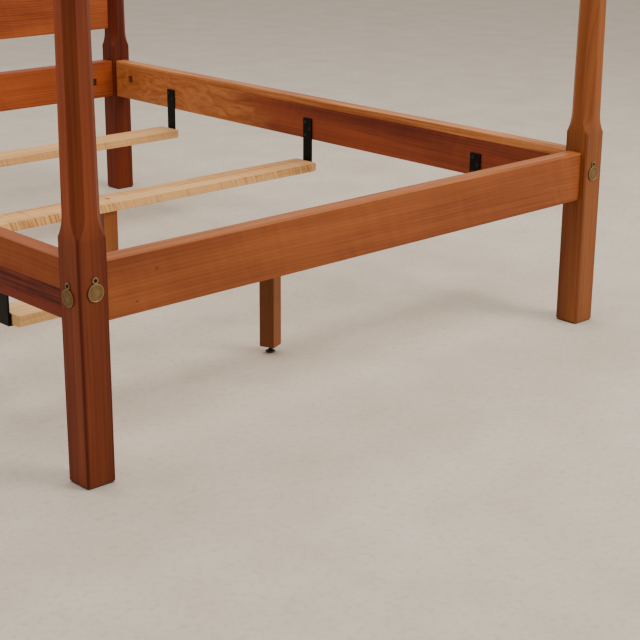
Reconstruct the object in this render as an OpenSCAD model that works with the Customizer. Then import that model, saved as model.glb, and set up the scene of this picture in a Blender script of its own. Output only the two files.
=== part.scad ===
// Pencil post bed, queen size, without its tester
// X runs across the bed, Y from the foot to the head, Z up from the floor
// Left is -X and right is +X, seen by someone who stands at the foot

/* [Mattress space] */
// Width of the mattress the bed takes
mattress_w = 1524; // [960:1:1940]
// Length of the mattress the bed takes
mattress_l = 2032; // [1880:1:2140]
// Gap from the mattress to the posts at each side
side_play = 0.5; // [0.5:0.5:12]
// Gap from the mattress to the posts at the head and the foot
end_play = 2; // [1:0.5:12]

/* [Posts] */
// Height of a post's top above the floor
post_top = 2030; // [1500:5:2300]
// Side of the square lower post, and width across the octagon's flats where it starts
post_w = 70; // [62:0.5:90]
// Width across the octagon's flats at the top
post_top_w = 44; // [30:0.5:56]
// Chamfer on the corners of the square part
post_edge = 3.5; // [1:0.5:8]
// Chamfer around the foot of a post
post_foot_edge = 1.5; // [0.5:0.5:4]
// Bevel around the top of a post
post_top_edge = 5; // [1:0.5:10]
// Height of the lamb's tongue tip above the top of the rails
tongue_rise = 46; // [20:1:90]
// Length of the lamb's tongue
tongue_l = 55; // [35:1:90]
// Height above the lamb's tongue at which the flats begin to taper
taper_rise = 12; // [4:1:40]

/* [Rails] */
// Height of the underside of the rails above the floor
rail_z = 344; // [300:1:420]
// Height of a rail
rail_h = 128; // [114:1:160]
// Thickness of a rail
rail_t = 45; // [36:0.5:48]
// Step from the outer face of the posts back to the outer face of the rails
rail_setback = 15; // [12:0.5:17]
// Radius on the long edges of a rail
rail_edge = 4; // [1:0.5:8]
// Length of the stub tenon on each end of a rail
tenon_l = 12; // [8:0.5:14]
// Thickness of the stub tenon
tenon_t = 24; // [16:0.5:28]
// Height of the stub tenon
tenon_h = 95; // [80:1:104]
// Clearance of a tenon or board end in its mortise, on each side
joint_gap = 0.3; // [0.1:0.1:1]

/* [Bed bolts] */
// Diameter of a bed bolt
bolt_d = 9.5; // [8:0.5:10]
// Clearance around a bolt in wood
bolt_gap = 0.5; // [0.3:0.1:0.8]
// Drop from the rail's top to the bolts of the side rails
side_bolt_drop = 57; // [52:1:58]
// Drop from the rail's top to the bolts of the head and foot rails
end_bolt_drop = 69; // [69:1:74]
// Diameter of the counterbore for a bolt's head
counterbore_d = 26; // [24:0.5:30]
// Depth of that counterbore
counterbore_depth = 14; // [11:0.5:16]
// Width of the hex head across its flats
bolt_head_w = 15; // [13:0.5:17]
// Height of the hex head
bolt_head_h = 6.5; // [5:0.5:8]
// Diameter of the washer under the head
washer_d = 22; // [18:0.5:23.5]
// Thickness of that washer
washer_t = 2; // [1:0.5:2.5]
// Distance from a rail's shoulder to its nut pocket
pocket_in = 70; // [50:1:100]
// Width of a nut pocket along the rail
pocket_w = 26; // [20:0.5:32]
// Height of a nut pocket
pocket_h = 24; // [20:0.5:30]
// Width of the square nut
nut_w = 17; // [14:0.5:19]
// Thickness of the square nut
nut_t = 8; // [6:0.5:10]
// Length of the bolt that stands out of its nut
bolt_past_nut = 5; // [2:0.5:9]

/* [Bolt covers] */
// Diameter of a cover's disc
cover_d = 38; // [32:0.5:42]
// Thickness of a cover's rim
cover_t = 3.2; // [2.5:0.1:4.5]
// Distance from the middle of the disc up to the middle of the eye
cover_drop = 25; // [23:0.5:27]
// Diameter of the eye
eye_d = 15; // [12:0.5:17]
// Thickness of the eye
eye_t = 2.2; // [1.5:0.1:2.4]
// Running gap between a cover and the post behind it
cover_gap = 0.5; // [0.3:0.1:1]
// Diameter of a cover's screw
cover_screw_d = 3.8; // [3:0.1:4.5]
// Diameter of the screw's head
cover_screw_head_d = 7; // [6:0.1:9]
// Height of the screw's head
cover_screw_head_h = 1.7; // [1.2:0.1:2.5]
// Length of the screw in the post
cover_screw_l = 14; // [10:0.5:18]
// Running clearance of the eye, and of each leg, around its fastener
running_gap = 0.08; // [0.02:0.01:0.1]

/* [Slat hangers] */
// Width of a hanger's flat bar
hanger_w = 38; // [36:0.5:60]
// Thickness of the flat bar
hanger_t = 5; // [4:0.5:8]
// Thickness of the angle seat
seat_t = 3; // [3:0.5:6]
// Drop from the top of the side rail to the top of a hanger
hanger_drop = 62; // [52:1:64]
// Reach of the seat under the slat
seat_l = 45; // [40:1:60]
// Height that the seat's upright leg stays below the slat's top
seat_leg_drop = 3; // [1:0.5:8]
// Diameter of a hanger's screws
hanger_screw_d = 4.8; // [4:0.1:5.5]
// Length of a hanger's screws in the rail
hanger_screw_l = 24; // [16:0.5:30]
// Diameter of the heads of the hanger and slat screws
screw_head_d = 9; // [8:0.1:10]
// Height of those heads
screw_head_h = 2; // [1.5:0.1:3]
// Drop from a hanger's top to its first screw
hanger_screw_first = 12; // [9:0.5:14]
// Height from one of its screws down to the next
hanger_screw_pitch = 20.5; // [15:0.5:22]
// Step of the screws to each side of the bar's middle
hanger_screw_side = 9; // [6:0.5:11]

/* [Slats] */
// Height of the slats' top above the floor
slat_top = 276; // [260:1:300]
// Width of a slat
slat_w = 96; // [70:1:140]
// Thickness of a slat
slat_t = 26; // [22:0.5:30]
// Radius on the edges and corners of a slat
slat_edge = 2.5; // [1:0.5:5]
// Gap from the end of a slat to the upright leg of its seat
slat_end_gap = 0.5; // [0.3:0.1:2]
// Distance from the foot posts to the middle of the first slat
slat_first = 318; // [200:1:420]
// Distance from one slat to the next
slat_pitch = 698; // [560:1:710]
// Diameter of the screws that hold a slat to its seats
slat_screw_d = 4.4; // [3.5:0.1:5]
// Length of those screws in the slat
slat_screw_l = 17; // [12:0.5:20]
// Step of those screws to each side of the slat's middle
slat_screw_side = 11; // [8:0.5:13]

/* [Centre legs] */
// Side of a centre leg along its slat's width, when it isn't turned
leg_w = 42; // [34:1:60]
// Side of a centre leg along its slat's length
leg_t = 42; // [34:1:60]
// Turn at which the leg of slat b stands on its bolt, counterclockwise from above
leg_turn_b = -15; // [-90:1:90]
// Turn at which the leg of slat c stands on its bolt
leg_turn_c = 22; // [-90:1:90]
// Height of a leg's underside above the floor
leg_z = 19; // [17:0.5:30]
// Radius on the corners of a leg
leg_edge = 2.5; // [1:0.5:5]
// Running gap between a leg's top and the slat
leg_gap = 0.3; // [0.2:0.1:0.6]
// Diameter of a leg's bolt
leg_bolt_d = 8; // [6:0.5:9]
// Diameter of the bolt's head
leg_bolt_head_d = 13; // [12:0.5:15]
// Height of the bolt's head
leg_bolt_head_h = 5; // [3:0.5:6]
// Depth of the head's top below the slat's top
leg_bolt_sink = 1; // [0.5:0.5:3]
// Clearance around the bolt's head in its counterbore
leg_head_gap = 0.8; // [0.3:0.1:1.5]
// Length of the bolt in the leg
leg_bolt_l = 26; // [18:1:34]
// Outer diameter of the threaded inserts in a leg
insert_d = 12; // [11:0.5:14]
// Length of a threaded insert
insert_l = 15; // [12:0.5:16]
// Slip clearance of fasteners in metal and of inserts in wood
slip_gap = 0.05; // [0.02:0.01:0.1]

/* [Levellers] */
// Diameter of a leveller's pad
pad_d = 26; // [20:0.5:36]
// Thickness of the pad
pad_t = 5; // [4:0.5:6]
// Width of the hex on the pad across its flats
pad_hex_w = 13; // [11:0.5:17]
// Height of the hex
pad_hex_h = 4; // [3:0.5:5]
// Diameter of the leveller's threaded stud
stud_d = 8; // [6:0.5:9]
// Length of the stud above the hex
stud_l = 40; // [38:1:46]
// Travel of a leveller up into the leg
level_up = 9; // [4:0.5:9]
// Radial gap around the stud above its insert
stud_bore_gap = 0.6; // [0.3:0.1:1]

/* [Headboard] */
// Height of the headboard's lower edge above the top of the rails
board_rise = 113; // [110:1:160]
// Height of the headboard at its ends
board_end_h = 270; // [180:1:340]
// Further height at the head of the curve
board_curve_h = 150; // [80:1:200]
// Further height in the middle
board_crown_h = 70; // [30:1:120]
// Thickness of the headboard
board_t = 19; // [16:0.5:21]
// Length of the headboard in each post
board_seat = 13; // [9:0.5:15]
// Length of the level shoulder beside each post
board_shoulder_l = 70; // [40:1:120]
// Length of the curve from the shoulder to the crown
board_curve_l = 230; // [120:1:280]

/* [Glides] */
// Thickness of the glide under a post
glide_t = 3; // [2:0.5:6]
// Step from the post's side in to the glide's side
glide_in = 3; // [2:0.5:8]
// Radius on the corners of a glide
glide_edge = 4; // [1:0.5:8]

/* [Hidden] */
$fn = 48;

cherry = [0.55, 0.27, 0.13];
maple = [0.83, 0.67, 0.48];
black = [0.10, 0.10, 0.10];
brass = [0.60, 0.50, 0.28];
steel = [0.60, 0.60, 0.58];

// The space between the posts and the size over them
clear_w = mattress_w + 2 * side_play;
clear_l = mattress_l + 2 * end_play;
bed_w = clear_w + 2 * post_w;
bed_l = clear_l + 2 * post_w;

// Rails, seen from the foot left corner of the bed, whose two outer faces meet at x0, y0
x0 = -bed_w / 2;
y0 = -bed_l / 2;
rail_top = rail_z + rail_h;
rail_mid = rail_setback + rail_t / 2;
side_rail_in = x0 + rail_setback + rail_t;
side_bolt_z = rail_top - side_bolt_drop;
end_bolt_z = rail_top - end_bolt_drop;
bolt_tip = post_w + pocket_in + nut_t + bolt_past_nut;

// The lamb's tongue is an arc that ends square to nothing at its tip and runs smoothly into the octagon
tongue_tip_z = rail_top + tongue_rise;
tongue_end_z = tongue_tip_z + tongue_l;
tongue_d = (sqrt(2) - 1) * post_w / 2;
tongue_r = (tongue_l * tongue_l + tongue_d * tongue_d) / (2 * tongue_d);
corner_r = (post_w - post_edge) / sqrt(2);
tongue_a = acos(1 - (corner_r - post_w / 2) / tongue_r);

// Slats and hangers, whose slats run from the foot as c, b, a
slat_bottom = slat_top - slat_t;
slat_y_c = y0 + post_w + slat_first;
slat_y_b = slat_y_c + slat_pitch;
slat_y_a = slat_y_b + slat_pitch;
slat_x = -side_rail_in - hanger_t - seat_t - slat_end_gap;
seat_x = side_rail_in + hanger_t;
slat_screw_x = seat_x + (seat_t + seat_l) / 2;
hanger_top = rail_top - hanger_drop;

// Legs
leg_top = slat_bottom - leg_gap;
leg_head_z = slat_top - leg_bolt_sink - leg_bolt_head_h;
stud_top = pad_t + pad_hex_h + stud_l;

// Headboard
board_z = rail_top + board_rise;
board_x = clear_w / 2 + board_seat;
board_y = -y0 - post_w / 2;

// Corner points of a circle's arc from angle a to angle b
function arc(x, y, r, a, b, n = 8) =
    [for (i = [0 : n]) let (t = a + (b - a) * i / n) [x + r * cos(t), y + r * sin(t)]];

// A rectangle with its lower left corner at the origin and rounded corners
function round_box(w, h, r) = concat(
    arc(w - r, r, r, -90, 0), arc(w - r, h - r, r, 0, 90),
    arc(r, h - r, r, 90, 180), arc(r, r, r, 180, 270));

// A half outline from bottom to top, closed by its mirror image
function both_sides(half) = concat(half,
    [for (i = [len(half) - 1 : -1 : 0]) [-half[i][0], half[i][1]]]);

// Outline of the post across its flats
function flat_half() = [
    [post_w / 2 - post_foot_edge, glide_t],
    [post_w / 2, glide_t + post_foot_edge],
    [post_w / 2, tongue_end_z + taper_rise],
    [post_top_w / 2, post_top]];

// Outline of the post across its corners, with the lamb's tongue
function corner_half() = concat(
    [[corner_r, glide_t]],
    [for (i = [12 : -1 : 0]) let (t = tongue_a * i / 12)
        [post_w / 2 + tongue_r * (1 - cos(t)), tongue_end_z - tongue_r * sin(t)]],
    [[post_top_w / 2, post_top]]);

// Height of the headboard's upper edge at the distance x from the middle
board_curve_x = clear_w / 2 - board_shoulder_l;
board_crown_x = board_curve_x - board_curve_l;
function board_edge(x) =
    x > board_curve_x ? 0 :
    x > board_crown_x
        ? board_curve_h * (1 + cos(180 * (x - board_crown_x) / board_curve_l)) / 2
        : board_curve_h + board_crown_h * (1 + cos(180 * x / board_crown_x)) / 2;
board_steps = concat([board_x], [board_curve_x],
    [for (i = [1 : 14]) board_curve_x - board_curve_l * i / 14],
    [for (i = [1 : 14]) board_crown_x - board_crown_x * i / 14]);
function board_half() = concat([[board_x, 0]],
    [for (x = board_steps) [x, board_end_h + board_edge(x)]]);

// The same thing at the foot left corner and its mirror image at another corner
module at_corner(right, head) {
    if (right && head) mirror([1, 0, 0]) mirror([0, 1, 0]) children();
    if (right && !head) mirror([1, 0, 0]) children();
    if (!right && head) mirror([0, 1, 0]) children();
    if (!right && !head) children();
}

module at_corners() {
    for (right = [false, true], head = [false, true])
        at_corner(right, head) children();
}

// The thing at the left end of each slat and its mirror image at the right end
module at_slat_ends() {
    for (y = [slat_y_a, slat_y_b, slat_y_c]) {
        translate([0, y, 0]) children();
        mirror([1, 0, 0]) translate([0, y, 0]) children();
    }
}

// The axis of the end rail's bolt and of the side rail's bolt, along +Z, from the post's outer face
module on_end_bolt(z = end_bolt_z) {
    translate([x0, y0 + rail_mid, z]) rotate([0, 90, 0]) children();
}

module on_side_bolt(z = side_bolt_z) {
    translate([x0 + rail_mid, y0, z]) rotate([-90, 0, 0]) children();
}

// A cover's place, with its outer side along +Z and its top along +Y
module on_end_face() {
    translate([x0, y0 + rail_mid, end_bolt_z]) rotate([90, 0, -90]) children();
}

module on_side_face() {
    translate([x0 + rail_mid, y0, side_bolt_z]) rotate([90, 0, 0]) children();
}

// A plate with the post's outline, which gives one pair of the post's faces
module post_faces(half) {
    rotate([90, 0, 0])
        linear_extrude(height = 3 * post_w, center = true) polygon(both_sides(half));
}

module post_body() {
    intersection() {
        post_faces(flat_half());
        rotate([0, 0, 90]) post_faces(flat_half());
        rotate([0, 0, 45]) post_faces(corner_half());
        rotate([0, 0, 135]) post_faces(corner_half());
        rotate_extrude() polygon([[0, 0], [post_w, 0],
            [post_w, post_top - post_top_edge - post_w + post_top_w / 2],
            [post_top_w / 2 - post_top_edge, post_top], [0, post_top]]);
    }
}

// The hole for a bolt with its counterbore, along +Z
module bolt_hole() {
    translate([0, 0, -1]) cylinder(h = counterbore_depth + 1, d = counterbore_d);
    cylinder(h = post_w + 1, d = bolt_d + 2 * bolt_gap);
}

// The hole for a cover's screw, seen from the cover's place
module cover_screw_hole() {
    translate([0, cover_drop, -cover_screw_l - 1])
        cylinder(h = cover_screw_l + 2, d = cover_screw_d + 2 * slip_gap);
}

// A post of the foot left corner
module post(head) {
    gap = joint_gap;
    difference() {
        translate([x0 + post_w / 2, y0 + post_w / 2, 0]) post_body();
        translate([x0 + post_w - tenon_l - gap, y0 + rail_mid - tenon_t / 2 - gap,
                   rail_z + (rail_h - tenon_h) / 2 - gap])
            cube([tenon_l + gap + 1, tenon_t + 2 * gap, tenon_h + 2 * gap]);
        translate([x0 + rail_mid - tenon_t / 2 - gap, y0 + post_w - tenon_l - gap,
                   rail_z + (rail_h - tenon_h) / 2 - gap])
            cube([tenon_t + 2 * gap, tenon_l + gap + 1, tenon_h + 2 * gap]);
        on_end_bolt() bolt_hole();
        on_side_bolt() bolt_hole();
        on_end_face() cover_screw_hole();
        on_side_face() cover_screw_hole();
        if (head)
            translate([x0 + post_w - board_seat - gap, y0 + post_w / 2 - board_t / 2 - gap,
                       board_z - gap])
                cube([board_seat + gap + 1, board_t + 2 * gap, board_end_h + 2 * gap]);
    }
}

// A rail along X, from its outer face at y = 0 to its inner face
module rail(long, bolt_z) {
    difference() {
        union() {
            translate([0, 0, rail_z]) rotate([90, 0, 90])
                linear_extrude(height = long, center = true)
                    polygon(round_box(rail_t, rail_h, rail_edge));
            translate([-long / 2 - tenon_l, rail_t / 2 - tenon_t / 2,
                       rail_z + (rail_h - tenon_h) / 2])
                cube([long + 2 * tenon_l, tenon_t, tenon_h]);
        }
        for (side = [-1, 1]) {
            translate([side * (long / 2 - pocket_in - pocket_w / 2) - pocket_w / 2,
                       rail_t / 2 - nut_w / 2 - slip_gap, bolt_z - pocket_h / 2])
                cube([pocket_w, rail_t, pocket_h]);
            translate([side * (long / 2 - pocket_in), rail_t / 2, bolt_z])
                rotate([0, 90 * side, 0])
                    translate([0, 0, -1]) cylinder(h = pocket_in + tenon_l + 2,
                                                   d = bolt_d + 2 * bolt_gap);
        }
    }
}

module end_rail() {
    translate([0, y0 + rail_setback, 0]) rail(clear_w, end_bolt_z);
}

// A side rail with the holes for its hangers' screws
module side_rail() {
    difference() {
        translate([x0 + rail_setback, 0, 0]) rotate([0, 0, -90]) rail(clear_l, side_bolt_z);
        for (y = [slat_y_a, slat_y_b, slat_y_c])
            translate([0, y, 0]) hanger_screw_places()
                cylinder(h = hanger_screw_l + 1, d = hanger_screw_d + 2 * slip_gap);
    }
}

module headboard() {
    color(cherry) translate([0, board_y + board_t / 2, board_z])
        rotate([90, 0, 0]) linear_extrude(height = board_t) polygon(both_sides(board_half()));
}

// The three screws of a left hanger, along +Z into the rail from its inner face
module hanger_screw_places() {
    for (i = [0 : 2])
        translate([side_rail_in, hanger_screw_side * (i == 1 ? -1 : 1),
                   hanger_top - hanger_screw_first - i * hanger_screw_pitch])
            rotate([0, -90, 0]) children();
}

// The two screws of a left hanger's seat, along +Z into the slat from its underside
module slat_screw_places() {
    for (side = [-1, 1])
        translate([slat_screw_x, side * slat_screw_side, slat_bottom]) children();
}

// A left hanger: a flat bar on the rail's inner face with an angle seat welded to its lower end
module hanger() {
    seat_z = slat_bottom - seat_t;
    color(black) difference() {
        translate([side_rail_in, -hanger_w / 2, 0]) union() {
            translate([0, 0, seat_z]) cube([hanger_t, hanger_w, hanger_top - seat_z]);
            translate([hanger_t, 0, seat_z]) cube([seat_l, hanger_w, seat_t]);
            translate([hanger_t, 0, seat_z])
                cube([seat_t, hanger_w, slat_top - seat_leg_drop - seat_z]);
        }
        hanger_screw_places() translate([0, 0, -hanger_t - 1])
            cylinder(h = hanger_t + 2, d = hanger_screw_d + 2 * slip_gap);
        slat_screw_places() translate([0, 0, -seat_t - 1])
            cylinder(h = seat_t + 2, d = slat_screw_d + 2 * slip_gap);
    }
}

// A slat with its middle at y = 0
module slat() {
    color(maple) difference() {
        intersection() {
            translate([0, -slat_w / 2, slat_bottom]) rotate([90, 0, 90])
                linear_extrude(height = 2 * slat_x, center = true)
                    polygon(round_box(slat_w, slat_t, slat_edge));
            translate([-slat_x, -slat_w / 2, slat_bottom - 1]) linear_extrude(height = slat_t + 2)
                polygon(round_box(2 * slat_x, slat_w, 2 * slat_edge));
        }
        translate([0, 0, leg_head_z])
            cylinder(h = slat_top - leg_head_z + 1, d = leg_bolt_head_d + 2 * leg_head_gap);
        translate([0, 0, slat_bottom - 1])
            cylinder(h = slat_t + 2, d = leg_bolt_d + 2 * running_gap);
        for (side = [false, true]) mirror([side ? 1 : 0, 0, 0]) slat_screw_places()
            translate([0, 0, -1])
                cylinder(h = slat_screw_l + 1.5, d = slat_screw_d + 2 * slip_gap);
    }
}

// A centre leg under the middle of its slat
module centre_leg() {
    color(cherry) difference() {
        translate([-leg_t / 2, -leg_w / 2, leg_z]) linear_extrude(height = leg_top - leg_z)
            polygon(round_box(leg_t, leg_w, leg_edge));
        translate([0, 0, leg_top - insert_l - slip_gap])
            cylinder(h = insert_l + 1, d = insert_d + 2 * slip_gap);
        translate([0, 0, leg_top - leg_bolt_l - 4])
            cylinder(h = leg_bolt_l + 5, d = leg_bolt_d + 1);
        translate([0, 0, leg_z - 1])
            cylinder(h = insert_l + 1 + slip_gap, d = insert_d + 2 * slip_gap);
        translate([0, 0, leg_z - 1])
            cylinder(h = stud_top + level_up + 2 - leg_z + 1, d = stud_d + 2 * stud_bore_gap);
    }
}

// The two threaded inserts of a leg, one for its bolt and one for its leveller
module leg_inserts() {
    color(brass) {
        translate([0, 0, leg_top - insert_l]) insert(leg_bolt_d);
        translate([0, 0, leg_z]) insert(stud_d);
    }
}

module insert(bore) {
    difference() {
        cylinder(h = insert_l, d = insert_d);
        translate([0, 0, -1]) cylinder(h = insert_l + 2, d = bore + 2 * running_gap);
    }
}

module leveller() {
    color(black) union() {
        rotate_extrude() polygon([[0, 0], [pad_d / 2 - 1, 0], [pad_d / 2, 1],
                                  [pad_d / 2, pad_t - 1.5], [pad_d / 2 - 2, pad_t], [0, pad_t]]);
        translate([0, 0, pad_t]) cylinder(h = pad_hex_h, d = pad_hex_w / cos(30), $fn = 6);
        translate([0, 0, pad_t]) cylinder(h = pad_hex_h + stud_l, d = stud_d);
    }
}

// A brass cover: a disc with a raised rim and a low dome, hung by its eye
module cover() {
    r = cover_d / 2;
    color(brass) difference() {
        translate([0, 0, cover_gap]) union() {
            rotate_extrude() polygon([[0, 0], [r, 0], [r, cover_t - 0.7], [r - 0.7, cover_t],
                                      [r - 2.2, cover_t], [r - 3, cover_t - 0.7],
                                      [r * 0.6, cover_t - 0.45], [r * 0.3, cover_t - 0.2],
                                      [0, cover_t - 0.1]]);
            translate([0, cover_drop, 0]) cylinder(h = eye_t, d = eye_d);
        }
        translate([0, cover_drop, cover_gap - 1])
            cylinder(h = eye_t + 2, d = cover_screw_d + 2 * running_gap);
    }
}

// A cover's screw, seen from the cover's place
module cover_screw() {
    head_z = cover_gap + eye_t + 0.3;
    r = cover_screw_head_d / 2;
    translate([0, cover_drop, 0]) union() {
        translate([0, 0, -cover_screw_l]) cylinder(h = cover_screw_l + head_z, d = cover_screw_d);
        translate([0, 0, head_z]) rotate_extrude()
            polygon([[0, 0], [r, 0], [r, 0.4], [r * 0.85, cover_screw_head_h * 0.7],
                     [r * 0.5, cover_screw_head_h * 0.95], [0, cover_screw_head_h]]);
    }
}

// A bed bolt along +Z from the post's outer face
module bed_bolt() {
    head_z = counterbore_depth - washer_t - bolt_head_h;
    translate([0, 0, head_z])
        cylinder(h = bolt_head_h, d = bolt_head_w / cos(30), $fn = 6);
    translate([0, 0, head_z + 1]) cylinder(h = bolt_tip - head_z - 1, d = bolt_d);
}

module bed_bolt_washer() {
    translate([0, 0, counterbore_depth - washer_t]) difference() {
        cylinder(h = washer_t, d = washer_d);
        translate([0, 0, -1]) cylinder(h = washer_t + 2, d = bolt_d + 2 * slip_gap);
    }
}

module bed_bolt_nut() {
    translate([0, 0, post_w + pocket_in]) difference() {
        translate([-nut_w / 2, -nut_w / 2, 0]) cube([nut_w, nut_w, nut_t]);
        translate([0, 0, -1]) cylinder(h = nut_t + 2, d = bolt_d + 2 * slip_gap);
    }
}

// A wood screw whose head lies below z = 0 and whose shank runs up from it
module wood_screw(d, long) {
    translate([0, 0, -screw_head_h]) rotate_extrude()
        polygon([[0, 0], [screw_head_d * 0.32, 0], [screw_head_d / 2, screw_head_h * 0.6],
                 [screw_head_d / 2, screw_head_h], [d / 2, screw_head_h],
                 [d / 2, screw_head_h + long - d / 2], [0, screw_head_h + long]]);
}

// The named pieces
module post_foot_left() { color(cherry) at_corner(false, false) post(false); }
module post_foot_right() { color(cherry) at_corner(true, false) post(false); }
module post_head_left() { color(cherry) at_corner(false, true) post(true); }
module post_head_right() { color(cherry) at_corner(true, true) post(true); }
module rail_foot() { color(cherry) end_rail(); }
module rail_head() { color(cherry) mirror([0, 1, 0]) end_rail(); }
module rail_left() { color(cherry) side_rail(); }
module rail_right() { color(cherry) mirror([1, 0, 0]) side_rail(); }
module slat_a() { translate([0, slat_y_a, 0]) slat(); }
module slat_b() { translate([0, slat_y_b, 0]) slat(); }
module slat_c() { translate([0, slat_y_c, 0]) slat(); }
module hanger_left_a() { translate([0, slat_y_a, 0]) hanger(); }
module hanger_left_b() { translate([0, slat_y_b, 0]) hanger(); }
module hanger_left_c() { translate([0, slat_y_c, 0]) hanger(); }
module hanger_right_a() { mirror([1, 0, 0]) translate([0, slat_y_a, 0]) hanger(); }
module hanger_right_b() { mirror([1, 0, 0]) translate([0, slat_y_b, 0]) hanger(); }
module hanger_right_c() { mirror([1, 0, 0]) translate([0, slat_y_c, 0]) hanger(); }
module centre_leg_a() { translate([0, slat_y_a, 0]) centre_leg(); }
module centre_leg_b() { translate([0, slat_y_b, 0]) rotate([0, 0, leg_turn_b]) centre_leg(); }
module centre_leg_c() { translate([0, slat_y_c, 0]) rotate([0, 0, leg_turn_c]) centre_leg(); }
module leg_inserts_a() { translate([0, slat_y_a, 0]) leg_inserts(); }
module leg_inserts_b() { translate([0, slat_y_b, 0]) leg_inserts(); }
module leg_inserts_c() { translate([0, slat_y_c, 0]) leg_inserts(); }
module leveller_a() { translate([0, slat_y_a, 0]) leveller(); }
module leveller_b() { translate([0, slat_y_b, 0]) leveller(); }
module leveller_c() { translate([0, slat_y_c, 0]) leveller(); }
module cover_foot_left_end() { at_corner(false, false) on_end_face() cover(); }
module cover_foot_left_side() { at_corner(false, false) on_side_face() cover(); }
module cover_foot_right_end() { at_corner(true, false) on_end_face() cover(); }
module cover_foot_right_side() { at_corner(true, false) on_side_face() cover(); }
module cover_head_left_end() { at_corner(false, true) on_end_face() cover(); }
module cover_head_left_side() { at_corner(false, true) on_side_face() cover(); }
module cover_head_right_end() { at_corner(true, true) on_end_face() cover(); }
module cover_head_right_side() { at_corner(true, true) on_side_face() cover(); }

module bed_bolts() {
    color(steel) at_corners() {
        on_end_bolt() bed_bolt();
        on_side_bolt() bed_bolt();
    }
}

module bed_bolt_washers() {
    color(steel) at_corners() {
        on_end_bolt() bed_bolt_washer();
        on_side_bolt() bed_bolt_washer();
    }
}

module bed_bolt_nuts() {
    color(steel) at_corners() {
        on_end_bolt() bed_bolt_nut();
        on_side_bolt() bed_bolt_nut();
    }
}

module cover_screws() {
    color(black) at_corners() {
        on_end_face() cover_screw();
        on_side_face() cover_screw();
    }
}

module hanger_screws() {
    color(black) at_slat_ends() hanger_screw_places()
        translate([0, 0, -hanger_t]) wood_screw(hanger_screw_d, hanger_t + hanger_screw_l);
}

module slat_screws() {
    color(black) at_slat_ends() slat_screw_places()
        translate([0, 0, -seat_t]) wood_screw(slat_screw_d, seat_t + slat_screw_l);
}

module leg_bolts() {
    color(steel) for (y = [slat_y_a, slat_y_b, slat_y_c]) translate([0, y, 0]) {
        translate([0, 0, leg_head_z]) cylinder(h = leg_bolt_head_h, d = leg_bolt_head_d);
        translate([0, 0, leg_top - leg_bolt_l])
            cylinder(h = leg_head_z + 1 - leg_top + leg_bolt_l, d = leg_bolt_d);
    }
}

module post_glides() {
    side = post_w - 2 * glide_in;
    color(black) at_corners() translate([x0 + glide_in, y0 + glide_in, 0])
        linear_extrude(height = glide_t) polygon(round_box(side, side, glide_edge));
}

post_foot_left();
post_foot_right();
post_head_left();
post_head_right();
rail_foot();
rail_head();
rail_left();
rail_right();
headboard();
slat_a();
slat_b();
slat_c();
hanger_left_a();
hanger_left_b();
hanger_left_c();
hanger_right_a();
hanger_right_b();
hanger_right_c();
centre_leg_a();
centre_leg_b();
centre_leg_c();
leg_inserts_a();
leg_inserts_b();
leg_inserts_c();
leveller_a();
leveller_b();
leveller_c();
cover_foot_left_end();
cover_foot_left_side();
cover_foot_right_end();
cover_foot_right_side();
cover_head_left_end();
cover_head_left_side();
cover_head_right_end();
cover_head_right_side();
bed_bolts();
bed_bolt_washers();
bed_bolt_nuts();
cover_screws();
hanger_screws();
slat_screws();
leg_bolts();
post_glides();
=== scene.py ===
"""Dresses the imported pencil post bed: cherry frame, maple slats, black steel hangers, brass covers.

Metres, in the frame of the CAD model: X across the bed, Y from the foot to the head, Z up from the floor.
"""
import math
import bmesh
import bpy
import numpy as np
from mathutils import Matrix, Vector


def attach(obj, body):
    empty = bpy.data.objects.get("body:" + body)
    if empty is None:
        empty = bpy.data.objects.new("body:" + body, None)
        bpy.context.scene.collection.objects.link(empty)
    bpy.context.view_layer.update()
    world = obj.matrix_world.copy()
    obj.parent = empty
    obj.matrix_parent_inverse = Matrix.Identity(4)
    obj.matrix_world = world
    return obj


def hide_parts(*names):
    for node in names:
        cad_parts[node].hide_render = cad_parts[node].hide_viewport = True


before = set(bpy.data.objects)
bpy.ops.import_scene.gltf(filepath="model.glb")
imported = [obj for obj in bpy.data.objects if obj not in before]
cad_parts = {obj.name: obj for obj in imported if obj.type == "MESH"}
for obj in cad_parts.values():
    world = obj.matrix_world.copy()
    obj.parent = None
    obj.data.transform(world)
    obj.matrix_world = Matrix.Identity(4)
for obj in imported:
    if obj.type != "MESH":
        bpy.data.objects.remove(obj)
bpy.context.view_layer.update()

# Sizes of the bed, the same as in the CAD model
MM = 0.001
BED_W = 1665 * MM
BED_L = 2176 * MM
POST_W = 70 * MM
POST_TOP = 2030 * MM
POST_TOP_W = 44 * MM
POST_EDGE = 3.5 * MM
POST_FOOT_EDGE = 1.5 * MM
POST_TOP_EDGE = 5 * MM
GLIDE_T = 3 * MM
TONGUE_TIP = 518 * MM
TONGUE_L = 55 * MM
TAPER_RISE = 12 * MM
RAIL_Z = 344 * MM
RAIL_H = 128 * MM
RAIL_T = 45 * MM
RAIL_SETBACK = 15 * MM
RAIL_EDGE = 4 * MM
TENON_L = 12 * MM
TENON_T = 24 * MM
TENON_H = 95 * MM
JOINT_GAP = 0.3 * MM
SLIP_GAP = 0.05 * MM
RUNNING_GAP = 0.08 * MM
SIDE_BOLT_Z = 415 * MM
END_BOLT_Z = 403 * MM
BOLT_HOLE_R = 5.25 * MM
COUNTERBORE_R = 13 * MM
COUNTERBORE_DEPTH = 14 * MM
POCKET_IN = 70 * MM
POCKET_W = 26 * MM
POCKET_H = 24 * MM
POCKET_FLOOR = 14 * MM
COVER_R = 19 * MM
COVER_T = 3.2 * MM
COVER_DROP = 25 * MM
EYE_R = 7.5 * MM
EYE_T = 2.2 * MM
COVER_GAP = 0.5 * MM
COVER_SCREW_R = 1.9 * MM
COVER_SCREW_HEAD_R = 3.5 * MM
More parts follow.
